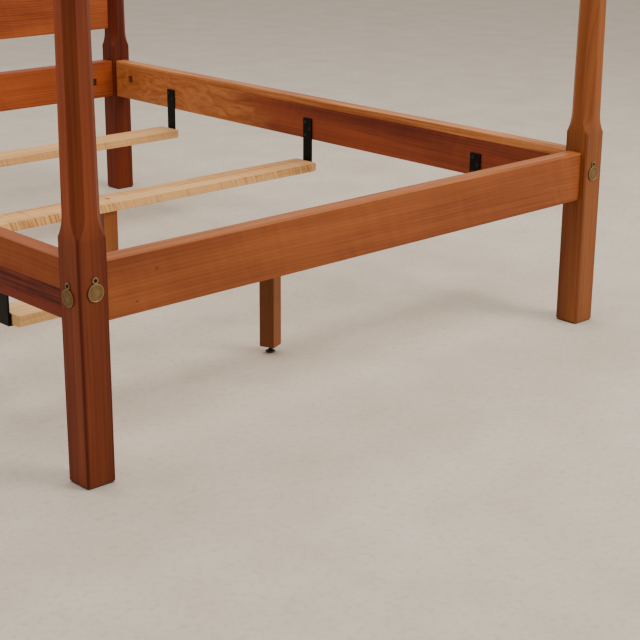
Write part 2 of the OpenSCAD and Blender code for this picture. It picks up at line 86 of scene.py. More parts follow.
COVER_SCREW_HEAD_H = 1.7 * MM
COVER_SCREW_L = 18 * MM
COVER_HEAD_GAP = 0.3 * MM
HANGER_W = 38 * MM
HANGER_T = 5 * MM
SEAT_T = 3 * MM
HANGER_TOP = 410 * MM
HANGER_SCREW_FIRST = 12 * MM
HANGER_SCREW_PITCH = 20.5 * MM
HANGER_SCREW_SIDE = 9 * MM
HANGER_SCREW_R = 2.4 * MM
HANGER_SCREW_L = 32 * MM
HANGER_SCREW_HEAD_R = 4.5 * MM
HANGER_SCREW_HEAD_H = 2 * MM
SEAT_L = 45 * MM
SEAT_LEG_DROP = 3 * MM
SLAT_TOP = 276 * MM
SLAT_W = 96 * MM
SLAT_T = 26 * MM
SLAT_HALF = 764 * MM
SLAT_EDGE = 2.5 * MM
SLAT_FIRST = 318 * MM
SLAT_PITCH = 698 * MM
LEG_W = 42 * MM
LEG_TURN = {"a": 0.0, "b": -15.0, "c": 22.0}
LEG_Z = 19 * MM
LEG_TOP = 249.7 * MM
LEG_EDGE = 2.5 * MM
LEG_BOLT_R = 4 * MM
LEG_BOLT_HEAD_R = 6.5 * MM
LEG_BOLT_HEAD_H = 5 * MM
LEG_BOLT_SINK = 1 * MM
LEG_BOLT_L = 26 * MM
LEG_HEAD_GAP = 0.8 * MM
INSERT_R = 6 * MM
INSERT_L = 15 * MM
PAD_R = 13 * MM
PAD_T = 5 * MM
PAD_HEX_W = 13 * MM
PAD_HEX_H = 4 * MM
STUD_R = 4 * MM
STUD_TOP = 49 * MM
STUD_BORE_TOP = 60 * MM
STUD_BORE_GAP = 0.6 * MM
THREAD_PITCH = 1.25 * MM
THREAD_DEPTH = 0.62 * MM
BOARD_Z = 585 * MM
BOARD_T = 19 * MM
BOARD_SEAT = 13 * MM
BOARD_END_H = 270 * MM
BOARD_CURVE_H = 150 * MM
BOARD_CROWN_H = 70 * MM
BOARD_SHOULDER_L = 70 * MM
BOARD_CURVE_L = 230 * MM
BOARD_EDGE = 3 * MM
# How far a cutter runs past what it cuts
CUT_PAST = 10 * MM

HALF_W = BED_W / 2
HALF_L = BED_L / 2
CLEAR_W = BED_W - 2 * POST_W
CLEAR_L = BED_L - 2 * POST_W
POST_X = HALF_W - POST_W / 2
POST_Y = HALF_L - POST_W / 2
RAIL_TOP = RAIL_Z + RAIL_H
RAIL_MID = RAIL_SETBACK + RAIL_T / 2
SIDE_RAIL_IN = -HALF_W + RAIL_SETBACK + RAIL_T
SLAT_BOTTOM = SLAT_TOP - SLAT_T
SLAT_Y = {n: -HALF_L + POST_W + SLAT_FIRST + i * SLAT_PITCH for i, n in enumerate("cba")}
# Side and height of each of a hanger's screws
HANGER_SCREWS = [(side, HANGER_TOP - HANGER_SCREW_FIRST - i * HANGER_SCREW_PITCH)
                 for i, side in enumerate((1, -1, 1))]


# Shapes: each is a grid of points, worked out as one array, whose rows become rings of quads
def arc(x, y, r, start, end, steps=5):
    """Points on a circle about (x, y) from one angle to another, in degrees."""
    t = np.radians(np.linspace(start, end, steps + 1))
    return np.stack([x + r * np.cos(t), y + r * np.sin(t)], -1)


def round_box(w, h, r, steps=5):
    """Outline of a w by h rectangle about the origin whose corners are quarter circles of radius r."""
    x, y = w / 2 - r, h / 2 - r
    return np.concatenate([arc(x, -y, r, -90, 0, steps), arc(x, y, r, 0, 90, steps),
                           arc(-x, y, r, 90, 180, steps), arc(-x, -y, r, 180, 270, steps)])


def skin(rings, closed=False):
    """A shell through rings of points (k, n, 3), in which quads join each ring to the next.

    The two end rings are capped, or in a closed shell joined to each other.
    """
    k, n = rings.shape[:2]
    ring = np.arange(k if closed else k - 1)[:, None]
    col = np.arange(n)[None, :]
    here = ring * n
    after = (ring + 1) % k * n
    beside = (col + 1) % n
    faces = np.stack([here + col, here + beside, after + beside, after + col], -1).reshape(-1, 4).tolist()
    if not closed:
        faces += [list(range(n))[::-1], list(range((k - 1) * n, k * n))]
    return rings.reshape(-1, 3), faces


def lathe(profile, steps=64):
    """A shell of revolution about Z: each point (r, z) of the profile is carried round a full turn."""
    profile = np.asarray(profile, float)
    t = np.linspace(0, 2 * np.pi, steps, endpoint=False)
    r, z = profile[:, 0, None], profile[:, 1, None]
    return np.stack([r * np.cos(t), r * np.sin(t), z + 0 * t], -1)


def along(outline, axis, places, centre=(0, 0)):
    """The outline carried straight along an axis, with a ring at each place and its own axes across it."""
    rings = np.empty((len(places), len(outline), 3))
    across = [i for i in range(3) if i != axis]
    rings[:, :, axis] = np.asarray(places)[:, None]
    rings[:, :, across[0]] = outline[:, 0] + centre[0]
    rings[:, :, across[1]] = outline[:, 1] + centre[1]
    return rings


def block(low, high):
    """A plain box between two corners, as two square rings, for cuts and hidden tenons."""
    low, high = np.array(low, float), np.array(high, float)
    square = np.array([[low[0], low[1]], [high[0], low[1]], [high[0], high[1]], [low[0], high[1]]])
    return along(square, 2, [low[2], high[2]])


def rod(start, end, r, steps=48):
    """A straight round bar from one point to another, as two rings."""
    start, end = np.array(start, float), np.array(end, float)
    axis = (end - start) / np.linalg.norm(end - start)
    side = np.cross(axis, [0.0, 0.0, 1.0] if abs(axis[2]) < 0.9 else [1.0, 0.0, 0.0])
    side /= np.linalg.norm(side)
    t = np.linspace(0, 2 * np.pi, steps, endpoint=False)[:, None]
    circle = r * (side * np.cos(t) + np.cross(axis, side) * np.sin(t))
    return np.stack([start + circle, end + circle])


def moved(rings, matrix):
    """The rings turned and shifted by a 4 by 4 matrix."""
    m = np.array(matrix)
    return rings @ m[:3, :3].T + m[:3, 3]


def new_object(name, points, faces):
    """A mesh object at the origin, linked to the scene."""
    mesh = bpy.data.meshes.new(name)
    mesh.from_pydata(points, [], faces)
    obj = bpy.data.objects.new(name, mesh)
    bpy.context.scene.collection.objects.link(obj)
    return obj


def mesh_object(name, *shells, closed=False):
    """A mesh object at the origin that holds shells of rings, with all faces outwards."""
    points, faces, count = [], [], 0
    for rings in shells:
        p, f = skin(rings, closed)
        points.append(p)
        faces += [[i + count for i in face] for face in f]
        count += len(p)
    obj = new_object(name, np.concatenate(points).tolist(), faces)
    face_outwards(obj)
    return obj


def face_outwards(obj):
    """Recalculates the normals of a mesh of closed shells so that they point outwards."""
    bm = bmesh.new()
    bm.from_mesh(obj.data)
    bmesh.ops.recalc_face_normals(bm, faces=bm.faces)
    bm.to_mesh(obj.data)
    bm.free()


def cut(obj, *shells):
    """Cuts closed shells of rings out of a mesh with an exact Boolean and keeps the result as its mesh."""
    for rings in shells:
        tool = mesh_object("cutter", rings)
        boolean = obj.modifiers.new("cut", "BOOLEAN")
        boolean.operation = "DIFFERENCE"
        boolean.solver = "EXACT"
        boolean.object = tool
        graph = bpy.context.evaluated_depsgraph_get()
        result = bpy.data.meshes.new_from_object(obj.evaluated_get(graph))
        obj.modifiers.clear()
        obj.data = result
        bpy.data.objects.remove(tool)


def ease(obj, width):
    """Rounds every sharp edge a little, as sandpaper or a file does, and keeps the flat faces flat."""
    bevel = obj.modifiers.new("eased edges", "BEVEL")
    bevel.width = width
    bevel.segments = 2
    bevel.limit_method = "ANGLE"
    bevel.angle_limit = math.radians(28)
    obj.data.shade_smooth()
    obj.modifiers.new("level faces", "WEIGHTED_NORMAL").weight = 80


def level(obj):
    """Shades a mesh smooth between its sharp edges, with the large faces leading, so that flats stay flat."""
    obj.data.shade_smooth()
    obj.data.set_sharp_from_angle(angle=math.radians(40))
    weighted = obj.modifiers.new("level faces", "WEIGHTED_NORMAL")
    weighted.weight = 80
    weighted.keep_sharp = True


def join(obj, other):
    """Adds the other object's shells to obj's mesh and removes it."""
    bm = bmesh.new()
    bm.from_mesh(obj.data)
    bm.from_mesh(other.data)
    bm.to_mesh(obj.data)
    bm.free()
    bpy.data.objects.remove(other)


def points_of(obj):
    """The points of an object's mesh, one row to a point."""
    values = np.empty(len(obj.data.vertices) * 3)
    obj.data.vertices.foreach_get("co", values)
    return values.reshape(-1, 3)


def faces_of(obj, what):
    """The normals ("normal") or middles ("center") of an object's faces, one row to a face."""
    values = np.empty(len(obj.data.polygons) * 3)
    obj.data.polygons.foreach_get(what, values)
    return values.reshape(-1, 3)


def write_attribute(obj, name, domain, values):
    """Writes one number to each face or point of a mesh, for its material to read."""
    attribute = obj.data.attributes.new(name, "FLOAT", domain)
    attribute.data.foreach_set("value", values.astype(np.float32))


def dress(obj, material, body, slot, *nodes):
    """Gives a finished piece its material and its body, and hides the CAD nodes that it stands for. slot is
    not used.
    """
    obj.data.materials.clear()
    obj.data.materials.append(material)
    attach(obj, body)
    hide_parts(*nodes)


# Finishes: node materials that read Object coordinates
class Finish:
    """A node material being made. Most methods add a node and return its output socket."""

    def __init__(self, name):
        self.material = bpy.data.materials.new(name)
        self.material.use_nodes = True
        self.nodes = self.material.node_tree.nodes
        self.links = self.material.node_tree.links
        self.shader = self.nodes["Principled BSDF"]
        self.position = self.add("ShaderNodeTexCoord").outputs["Object"]

    def add(self, kind, inputs=(), **settings):
        node = self.nodes.new(kind)
        for key, value in settings.items():
            setattr(node, key, value)
        for key, value in dict(inputs).items():
            self.feed(node.inputs[key], value)
        return node

    def feed(self, socket, value):
        if isinstance(value, bpy.types.NodeSocket):
            self.links.new(value, socket)
        elif isinstance(value, (tuple, list)) and len(value) == 3 and socket.type == "RGBA":
            socket.default_value = (*value, 1.0)
        else:
            socket.default_value = value

    def math(self, operation, a, b=0.0, clamp=False):
        node = self.add("ShaderNodeMath", {0: a, 1: b}, operation=operation, use_clamp=clamp)
        return node.outputs[0]

    def vector(self, operation, a, b):
        second = "Scale" if operation == "SCALE" else 1
        node = self.add("ShaderNodeVectorMath", {0: a, second: b}, operation=operation)
        return node.outputs["Value" if operation == "DISTANCE" else "Vector"]

    def swing(self, noise, reach):
        """A noise between 0 and 1, centred on 0 and multiplied by reach."""
        return self.math("MULTIPLY", self.math("SUBTRACT", noise, 0.5), reach)

    def noise(self, vector, scale=1.0, detail=3.0, roughness=0.5, distortion=0.0):
        node = self.add("ShaderNodeTexNoise", {"Vector": vector, "Scale": scale, "Detail": detail,
                                                "Roughness": roughness, "Distortion": distortion})
        return node.outputs["Fac"]

    def range(self, value, low, high, to_low=0.0, to_high=1.0, smooth=False):
        node = self.add("ShaderNodeMapRange", {"Value": value, "From Min": low, "From Max": high,
                                                "To Min": to_low, "To Max": to_high},
                        interpolation_type="SMOOTHSTEP" if smooth else "LINEAR", clamp=True)
        return node.outputs["Result"]

    def mix(self, share, a, b):
        return self.add("ShaderNodeMix", {0: share, 6: a, 7: b}, data_type="RGBA").outputs[2]

    def bump(self, height, strength, distance):
        node = self.add("ShaderNodeBump", {"Height": height, "Strength": strength, "Distance": distance})
        return node.outputs["Normal"]

    def done(self, colour, roughness, normal, **fixed):
        self.feed(self.shader.inputs["Base Color"], colour)
        self.feed(self.shader.inputs["Roughness"], roughness)
        self.links.new(normal, self.shader.inputs["Normal"])
        for key, value in fixed.items():
            self.shader.inputs[key.replace("_", " ")].default_value = value
        return self.material


def tone(r, g, b):
    """A colour given as it looks on a screen, 0 to 255, turned into light values."""
    c = np.array([r, g, b]) / 255
    return tuple(np.where(c <= 0.04045, c / 12.92, ((c + 0.055) / 1.055) ** 2.4).tolist())


def scaled(colour, share):
    """A colour whose light values are each multiplied by a share."""
    return tuple(c * share for c in colour)


# For each direction of the grain: the axes along it and across it
GRAIN = {"X": (0, 1, 2), "Y": (1, 0, 2), "Z": (2, 0, 1)}


def wood(name, along_axis, light, dark, pith, ring=4.0, contrast=0.5, streak=0.5, curl=(0.1, 0.1), boards_and_light_strips=(),
         knots=(), roughness=0.46, calm_above=None, painted_light_and_tone=False, ribs=40.0, corners=None, figure=None,
         vein=None, mottle=2.6, sheen=0.22):
    """Solid timber: growth rings are shells about a pith line beside the board, warped along its length, with
    fine pores and streaks along the grain and a curl across it, so all faces of a board agree.

    pith is the pith line's place across the grain in metres, ring the ring width in mm.
    boards are (axis, low, high, light, dark) for a strip of another tone, with a crisp joint, which
    begins at low and ends at high along that axis. Some strips are glued-on wood; the others are painted
    light on a rail's top face and a painted highlight on its top arris.
    knots are (x, y, z, radius in mm) of pin knots. Above the height calm_above the curl is faint.
    curl is how strong the curl is at the low and at the high end of a slat's length.
    ribs is how many bands of curl there are in a metre. They come in clusters.
    The painted light flag multiplies the colour by the mesh's attribute "shade": painted light and shade.
    corners is (x, y, share): a square post's middle, and how much painted shade darkens its rounded corners.
    figure is (start, end, light, dark): along the grain the board turns to a paler, flame-figured wood.
    vein is (half width, start, place across there, end, place across there, tone) for one coloured streak.
    mottle is how far the board's broad, cloudy light and dark go, and sheen how much the finish reflects.
    """
    f = Finish(name)
    parts = f.add("ShaderNodeSeparateXYZ", {0: f.position}).outputs
    grain, across, through = (parts[i] for i in GRAIN[along_axis])
    p = f.add("ShaderNodeCombineXYZ", {0: grain, 1: across, 2: through}).outputs[0]
    seed = (pith[0] * 7.3 + pith[1] * 3.1, pith[0] * 5.7, pith[1] * 9.9)
    shifted = f.vector("ADD", p, seed)

    def grain_noise(scale, detail=3.0, rough=0.55, distortion=0.0):
        return f.noise(f.vector("MULTIPLY", shifted, scale), 1.0, detail, rough, distortion)

    drift = grain_noise((1.1, 4.0, 4.0), 2.0)
    wave = grain_noise((3.5, 22.0, 22.0), 3.0)
    away = f.vector("DISTANCE", f.vector("MULTIPLY", p, (0.012, 1, 1)), (0.0, pith[0], pith[1]))
    away = f.math("ADD", away, f.math("MULTIPLY", drift, 0.055))
    away = f.math("ADD", away, f.math("MULTIPLY", wave, 0.006))
    phase = f.math("FRACT", f.math("DIVIDE", away, ring * MM))
    late = f.math("POWER", phase, 2.2)
    close = f.range(phase, 0.90, 1.0, 1.0, 0.0)
    rings = f.math("MULTIPLY", late, close)
    year = f.noise(f.add("ShaderNodeCombineXYZ", {0: f.math("MULTIPLY", away, 90.0)}).outputs[0], 1.0, 2.0)

    broad = grain_noise((0.9, 9.0, 9.0), 3.0, 0.6)
    streaks = grain_noise((2.6, 130.0, 130.0), 4.0, 0.62)
    pores = grain_noise((30.0, 900.0, 900.0), 2.0, 0.6)
    lean = f.math("ADD", grain, f.math("MULTIPLY", parts[2], 0.35))
    leaning = f.add("ShaderNodeCombineXYZ", {0: f.math("MULTIPLY", lean, ribs),
                                             1: f.math("MULTIPLY", across, 9.0),
                                             2: f.math("MULTIPLY", through, 9.0)}).outputs[0]
    waves = f.noise(leaning, 1.0, 1.0, 0.5, 0.2)
    clusters = f.range(grain_noise((7.0, 3.0, 3.0), 1.0), 0.40, 0.62, 0.45, 1.0)
    curl_here = f.range(grain, -SLAT_HALF, SLAT_HALF, curl[0] * 4.0, curl[1] * 4.0)
    curl_share = f.math("MULTIPLY", f.swing(waves, clusters), curl_here)
    if calm_above is not None:
        curl_share = f.math("MULTIPLY", curl_share, f.range(parts[2], calm_above, calm_above + MM, 1.0, 0.35))

    share = f.math("MULTIPLY", rings, contrast)
    share = f.math("ADD", share, f.swing(year, contrast * 1.2))
    share = f.math("ADD", share, f.swing(broad, mottle))
    share = f.math("ADD", share, f.swing(streaks, streak * 1.8))
    share = f.math("ADD", share, curl_share)
    share = f.math("ADD", share, 0.33, clamp=True)
    colour = f.mix(share, light, dark)
    if figure is not None:
        start, end, figure_light, figure_dark = figure
        flames = f.range(grain_noise((9.0, 30.0, 30.0), 3.0, 0.55, 2.2), 0.38, 0.66)
        flames = f.mix(flames, figure_light, figure_dark)
        turn = f.math("ADD", grain, f.swing(wave, 0.5))
        colour = f.mix(f.range(turn, start, end, smooth=True), colour, flames)
    if vein is not None:
        half_width, start, across_start, end, across_end, vein_tone = vein
        fade = 80 * MM
        at = f.range(grain, start, end, across_start, across_end)
        bent = f.math("ADD", across, f.swing(wave, 4 * MM))
        near = f.math("ABSOLUTE", f.math("SUBTRACT", bent, at))
        there = f.math("MULTIPLY", f.range(grain, start, start + fade),
                       f.range(grain, end - fade, end, 1.0, 0.0))
        there = f.math("MULTIPLY", there, f.range(near, 0.4 * half_width, half_width, 0.9, 0.0, smooth=True))
        colour = f.mix(there, colour, vein_tone)
    # Strips of another tone: glued-on wood, and painted light and a painted highlight on the rails' tops
    for axis, low, high, strip_light, strip_dark in boards_and_light_strips:
        place = parts["XYZ".index(axis)]
        inside = f.math("MULTIPLY", f.range(place, low - 0.3 * MM, low + 0.3 * MM),
                        f.range(place, high - 0.3 * MM, high + 0.3 * MM, 1.0, 0.0))
        strips = f.math("ADD", f.swing(streaks, 3.4), share, clamp=True)
        colour = f.mix(inside, colour, f.mix(strips, strip_light, strip_dark))
    for x, y, z, r in knots:
        near = f.math("ADD", f.vector("DISTANCE", f.position, (x, y, z)), f.swing(wave, 4 * MM))
        spot = f.range(near, 0.2 * r * MM, 1.6 * r * MM, 0.75, 0.0, smooth=True)
        colour = f.mix(spot, colour, scaled(dark, 0.3))
    colour = f.mix(f.range(pores, 0.62, 0.74, 0.0, 0.3), colour, scaled(dark, 0.55))
    # Painted light and shade, read from the mesh's attribute "shade"
    if painted_light_and_tone:
        shade = f.add("ShaderNodeAttribute", attribute_name="shade").outputs["Fac"]
        colour = f.vector("SCALE", colour, shade)
    # Painted shade: a soft dark band along each rounded corner of a post
    if corners is not None:
        aside, ahead = (f.math("ABSOLUTE", f.math("SUBTRACT", parts[i], corners[i])) for i in (0, 1))
        out = f.math("ADD", f.math("ADD", aside, ahead), f.swing(wave, 4 * MM))
        edge = f.range(out, POST_W - 9.5 * MM, POST_W - 4.5 * MM, 0.0, corners[2], smooth=True)
        colour = f.mix(edge, colour, tuple(c * k for c, k in zip(dark, (0.75, 0.45, 0.5))))
    height = f.math("ADD", f.math("MULTIPLY", pores, 0.6), f.math("MULTIPLY", streaks, 0.4))
    gloss = f.range(streaks, 0.3, 0.7, roughness - 0.05, roughness + 0.06)
    return f.done(colour, gloss, f.bump(height, 0.12, 0.0006), Specular_IOR_Level=sheen)


def black_paint(name):
    """Satin black paint over flat bar, with a faint orange-peel and a cloudy tone between two near blacks."""
    f = Finish(name)
    cloud = f.noise(f.position, 60.0, 4.0, 0.6)
    fine = f.noise(f.position, 900.0, 2.0, 0.5)
    colour = f.mix(f.range(cloud, 0.35, 0.75), tone(5, 5, 5), tone(13, 13, 13))
    normal = f.bump(fine, 0.15, 0.0003)
    return f.done(colour, f.range(cloud, 0.3, 0.7, 0.36, 0.5), normal, Specular_IOR_Level=0.12)


def aged_brass(name, light, dark, rubbed=None):
    """Brass gone brown: cloudy tarnish, small dark specks and a slightly brighter rubbed tone between them.

    rubbed is the paler tone where the mesh's own attribute "rubbed" nears 1, as on a cover's rim.
    """
    f = Finish(name)
    cloud = f.noise(f.position, 110.0, 5.0, 0.62)
    speck = f.noise(f.position, 900.0, 3.0, 0.6)
    lines = f.noise(f.position, 2400.0, 1.0, 0.5)
    colour = f.mix(f.range(cloud, 0.30, 0.72), light, dark)
    if rubbed is not None:
        share = f.add("ShaderNodeAttribute", attribute_name="rubbed").outputs["Fac"]
        colour = f.mix(f.range(share, 0.0, 0.35, 0.55, 0.0), colour, scaled(dark, 0.5))
        colour = f.mix(f.range(share, 0.35, 1.0), colour, rubbed)
    colour = f.mix(f.range(speck, 0.60, 0.72, 0.0, 0.6), colour, scaled(dark, 0.4))
    normal = f.bump(f.math("ADD", speck, f.math("MULTIPLY", lines, 0.3)), 0.10, 0.0003)
    return f.done(colour, f.range(cloud, 0.3, 0.7, 0.44, 0.60), normal, Metallic=0.8)


def plated_steel(name, light, dark, rough=0.34):
    """Zinc-plated steel with a cloudy grey bloom."""
    f = Finish(name)
    cloud = f.noise(f.position, 240.0, 4.0, 0.6)
    colour = f.mix(f.range(cloud, 0.35, 0.7), light, dark)
    normal = f.bump(f.noise(f.position, 1500.0, 2.0, 0.5), 0.08, 0.0002)
    return f.done(colour, f.range(cloud, 0.3, 0.7, rough - 0.06, rough + 0.12), normal, Metallic=0.9)


def nylon(name, colour):
    """Black nylon with a fine moulded grain."""
    f = Finish(name)
    grain = f.noise(f.position, 1400.0, 3.0, 0.6)
    shade = f.mix(f.range(grain, 0.35, 0.7), colour, scaled(colour, 1.6))
    return f.done(shade, f.range(grain, 0.3, 0.7, 0.5, 0.62), f.bump(grain, 0.15, 0.0002))


# The cherry and maple of each board
posts_wood = {
    "foot_left": wood("cherry_post_foot_left", "Z", tone(110, 52, 26), tone(78, 30, 16), (-0.93, -1.02), 9.0,
                      contrast=0.25, streak=0.65, curl=(0.0, 0.0), painted_light_and_tone=True,
                      corners=(-POST_X, -POST_Y, 0.5), sheen=0.12),
    "foot_right": wood("cherry_post_foot_right", "Z", tone(150, 86, 40), tone(100, 46, 16), (0.72, -1.20),
                       7.0, contrast=0.3, streak=0.45, curl=(0.0, 0.0), painted_light_and_tone=True,
                       corners=(POST_X, -POST_Y, 0.4)),
    "head_left": wood("cherry_post_head_left", "Z", tone(140, 62, 24), tone(88, 28, 8), (-0.95, 1.19), 6.0,
                      contrast=0.35, painted_light_and_tone=True, corners=(-POST_X, POST_Y, 0.4)),
    "head_right": wood("cherry_post_head_right", "Z", tone(116, 46, 20), tone(58, 14, 7), (0.92, 1.00), 9.0,
                       contrast=0.25, streak=0.5, curl=(0.0, 0.0), painted_light_and_tone=True,
                       corners=(POST_X, POST_Y, 0.1), sheen=0.12),
}
# The strip of a rail's top face, which gets painted light, and the plane of the foot rail's outer face
TOP_FACE = (RAIL_TOP - 0.8 * MM, RAIL_TOP + 8 * MM)
FOOT_FACE_Y = -HALF_L + RAIL_SETBACK
# On the foot rail the strip up its rounded top arris is a painted highlight, and the top-face strip is
# painted light
rail_foot_wood = wood("cherry_rail_foot", "X", tone(156, 86, 38), tone(108, 48, 16), (-1.05, 0.30), 9.0,
                      contrast=0.22, streak=0.4, mottle=1.9,
                      boards_and_light_strips=(("Z", RAIL_TOP - RAIL_EDGE, TOP_FACE[0], tone(176, 98, 46), tone(150, 78, 32)),
                              ("Z", *TOP_FACE, tone(166, 96, 40), tone(138, 72, 24))),
                      knots=((-0.632, FOOT_FACE_Y, 0.4305, 3.0), (-0.637, FOOT_FACE_Y, 0.427, 2.0),
                             (-0.684, FOOT_FACE_Y, 0.3705, 2.4), (0.039, FOOT_FACE_Y, 0.457, 1.6)))
rail_head_wood = wood("cherry_rail_head", "X", tone(166, 80, 30), tone(118, 46, 14), (0.93, 0.30), 5.0)
# On the left rail the top-face strip is painted light
rail_left_wood = wood("cherry_rail_left", "Y", tone(152, 76, 34), tone(112, 46, 18), (-0.90, 0.52), 8.0,
                      contrast=0.2, streak=0.4, mottle=2.0, sheen=0.12,
                      boards_and_light_strips=(("Z", 0.30, 0.408, tone(122, 46, 26), tone(70, 20, 18)),
                              ("Z", *TOP_FACE, tone(144, 80, 42), tone(120, 60, 28))))
rail_right_wood = wood("cherry_rail_right", "Y", tone(148, 69, 38), tone(94, 33, 20), (0.86, 0.31), 8.0,
                       contrast=0.25, streak=0.5,
                       figure=(0.12, 0.42, tone(188, 116, 62), tone(158, 88, 42)),
                       boards_and_light_strips=(("Z", 0.451, 0.50, tone(200, 128, 70), tone(150, 82, 36)),))
headboard_wood = wood("cherry_headboard", "X", tone(168, 84, 32), tone(116, 46, 14), (1.20, 0.82), 6.0,
                      contrast=0.55)
leg_wood = {n: wood("cherry_leg_" + n, "Z", tone(146, 86, 42), tone(106, 54, 24),
                    (0.06 + 0.05 * i, SLAT_Y[n] + 0.07), 7.0, contrast=0.25, streak=0.3, painted_light_and_tone=True)
            for i, n in enumerate("abc")}
SLAT_CURL = {"a": (0.4, 0.4), "b": (2.6, 0.9), "c": (0.3, 0.9)}
SLAT_LIGHT = {"a": tone(232, 184, 122), "b": tone(224, 173, 110), "c": tone(232, 184, 122)}
SLAT_VEIN = {"b": (3.4 * MM, 0.20, SLAT_Y["b"] - 4 * MM, 0.70, SLAT_Y["b"] + 12 * MM, tone(172, 66, 30))}
slat_wood = {n: wood("maple_slat_" + n, "X", SLAT_LIGHT[n], tone(178, 120, 64),
                     (SLAT_Y[n] + 0.09, 0.16 + 0.02 * i), 5.5, contrast=0.25, streak=0.45, curl=SLAT_CURL[n],
                     roughness=0.5, calm_above=SLAT_TOP - 2 * MM, ribs=330.0, vein=SLAT_VEIN.get(n))
             for i, n in enumerate("abc")}
hanger_paint = black_paint("satin_black_hanger")
cover_metal = aged_brass("aged_brass_cover", tone(136, 108, 68), tone(106, 82, 48), tone(144, 117, 82))
insert_metal = aged_brass("brass_insert", tone(190, 160, 96), tone(150, 122, 66))
bolt_metal = plated_steel("zinc_bed_bolt", tone(176, 176, 170), tone(128, 128, 122))
leg_bolt_metal = plated_steel("zinc_leg_bolt", tone(170, 176, 168), tone(112, 118, 108))
dark_metal = plated_steel("blackened_screw", tone(40, 36, 32), tone(22, 19, 17), 0.42)
hanger_screw_metal = plated_steel("oiled_black_screw", tone(60, 64, 68), tone(34, 37, 40), 0.36)
leveller_nylon = nylon("black_nylon_leveller", tone(38, 36, 34))
glide_nylon = nylon("black_nylon_glide", tone(26, 24, 23))


# Posts
tongue_depth = (math.sqrt(2) - 1) * POST_W / 2
TONGUE_R = (TONGUE_L ** 2 + tongue_depth ** 2) / (2 * tongue_depth)
TONGUE_END = TONGUE_TIP + TONGUE_L
CORNER_R = (POST_W - POST_EDGE) / math.sqrt(2)
TONGUE_A = math.acos(1 - (CORNER_R - POST_W / 2) / TONGUE_R)
ARRIS_R = 1.6 * MM


def post_widths():
    """Heights up a post from foot to top, with its half widths there across flats and across corners.

    The lamb's tongue is an arc of TONGUE_R across corners. Above it both widths shrink evenly.
    """
    narrowing = (POST_W - POST_TOP_W) / 2
    flat_slope = narrowing / (POST_TOP - TONGUE_END - TAPER_RISE)
    corner_slope = narrowing / (POST_TOP - TONGUE_END)
    t = np.linspace(TONGUE_A, 0, 17)
    tongue_z = TONGUE_END - TONGUE_R * np.sin(t)
    z = np.concatenate([
        GLIDE_T + np.array([0, 0.4, 1.0]) * POST_FOOT_EDGE, [0.2, 0.40, tongue_z[0] - 0.4 * MM], tongue_z,
        TONGUE_END + TAPER_RISE + np.array([0.0, 6 * MM]), np.linspace(0.8, 1.8, 6),
        [POST_TOP - POST_TOP_EDGE - 2 * MM], POST_TOP - POST_TOP_EDGE + POST_TOP_EDGE * np.linspace(0, 1, 5)])
    flat = POST_W / 2 - flat_slope * np.clip(z - TONGUE_END - TAPER_RISE, 0, None)
    corner = POST_W / 2 - corner_slope * np.clip(z - TONGUE_END, 0, None)
    in_tongue = (z >= tongue_z[0] - 0.01 * MM) & (z <= TONGUE_END)
    rise = np.clip((TONGUE_END - z) / TONGUE_R, -1, 1)
    corner = np.where(in_tongue, POST_W / 2 + TONGUE_R * (1 - np.sqrt(1 - rise ** 2)), corner)
    corner = np.where(z < tongue_z[0] - 0.01 * MM, CORNER_R, corner)
    foot = POST_FOOT_EDGE * np.clip(1 - (z - GLIDE_T) / POST_FOOT_EDGE, 0, 1)
    bevel = np.clip(z - (POST_TOP - POST_TOP_EDGE), 0, None)
    return z, flat - foot - bevel, corner - foot - bevel


def post_rings(centre):
    """Eight-sided rings up a post, with rounded arrises.

    Each face lies at its half width from the middle, and an arc of ARRIS_R joins it to the next face.
    """
    z, flat, corner = post_widths()
    turn = np.radians(45 * np.arange(8))
    here = np.where(np.arange(8) % 2 == 0, flat[:, None], corner[:, None]) - ARRIS_R
    after = np.where(np.arange(8) % 2 == 0, corner[:, None], flat[:, None]) - ARRIS_R
    beside = (after - here * math.cos(math.pi / 4)) / math.sin(math.pi / 4)
    x = here * np.cos(turn) - beside * np.sin(turn)
    y = here * np.sin(turn) + beside * np.cos(turn)
    step = np.radians(np.linspace(0, 45, 4))
    angle = turn[:, None] + step[None, :]
    px = x[:, :, None] + ARRIS_R * np.cos(angle)
    py = y[:, :, None] + ARRIS_R * np.sin(angle)
    rings = np.empty((len(z), 32, 3))
    rings[:, :, 0] = px.reshape(len(z), 32) + centre[0]
    rings[:, :, 1] = py.reshape(len(z), 32) + centre[1]
    rings[:, :, 2] = z[:, None]
    return rings


# Painted light and shade on each post, as factors on its colour: on its faces towards foot and head, on its
# faces towards the sides, on its chamfers; and how much lighter its wood is above the lamb's tongue
POST_PAINTED_LIGHT_AND_TONE = {"foot_left": (1.0, 1.75, 0.95, 1.3), "foot_right": (0.74, 0.99, 0.9, 1.22),
               "head_left": (1.0, 1.1, 0.9, 1.1), "head_right": (0.85, 1.1, 1.1, 1.05)}


def paint_post_light_and_tone(post, front, side, chamfer, upper):
    """Writes the face attribute "shade": painted light and shade by where a face points, front, side or
    chamfer.

    Above the lamb's tongue it is multiplied by upper, for the wood's lighter tone there.
    """
    nx, ny = np.abs(faces_of(post, "normal")[:, :2]).T
    z = faces_of(post, "center")[:, 2]
    to_side = np.clip((nx - 0.75) / 0.2, 0, 1)
    to_front = np.clip((ny - 0.75) / 0.2, 0, 1)
    shade = side * to_side + front * to_front + chamfer * (1 - to_side - to_front)
    shade *= 1 + (upper - 1) * np.clip((z - TONGUE_TIP + 10 * MM) / TONGUE_L, 0, 1)
    write_attribute(post, "shade", "FACE", shade)


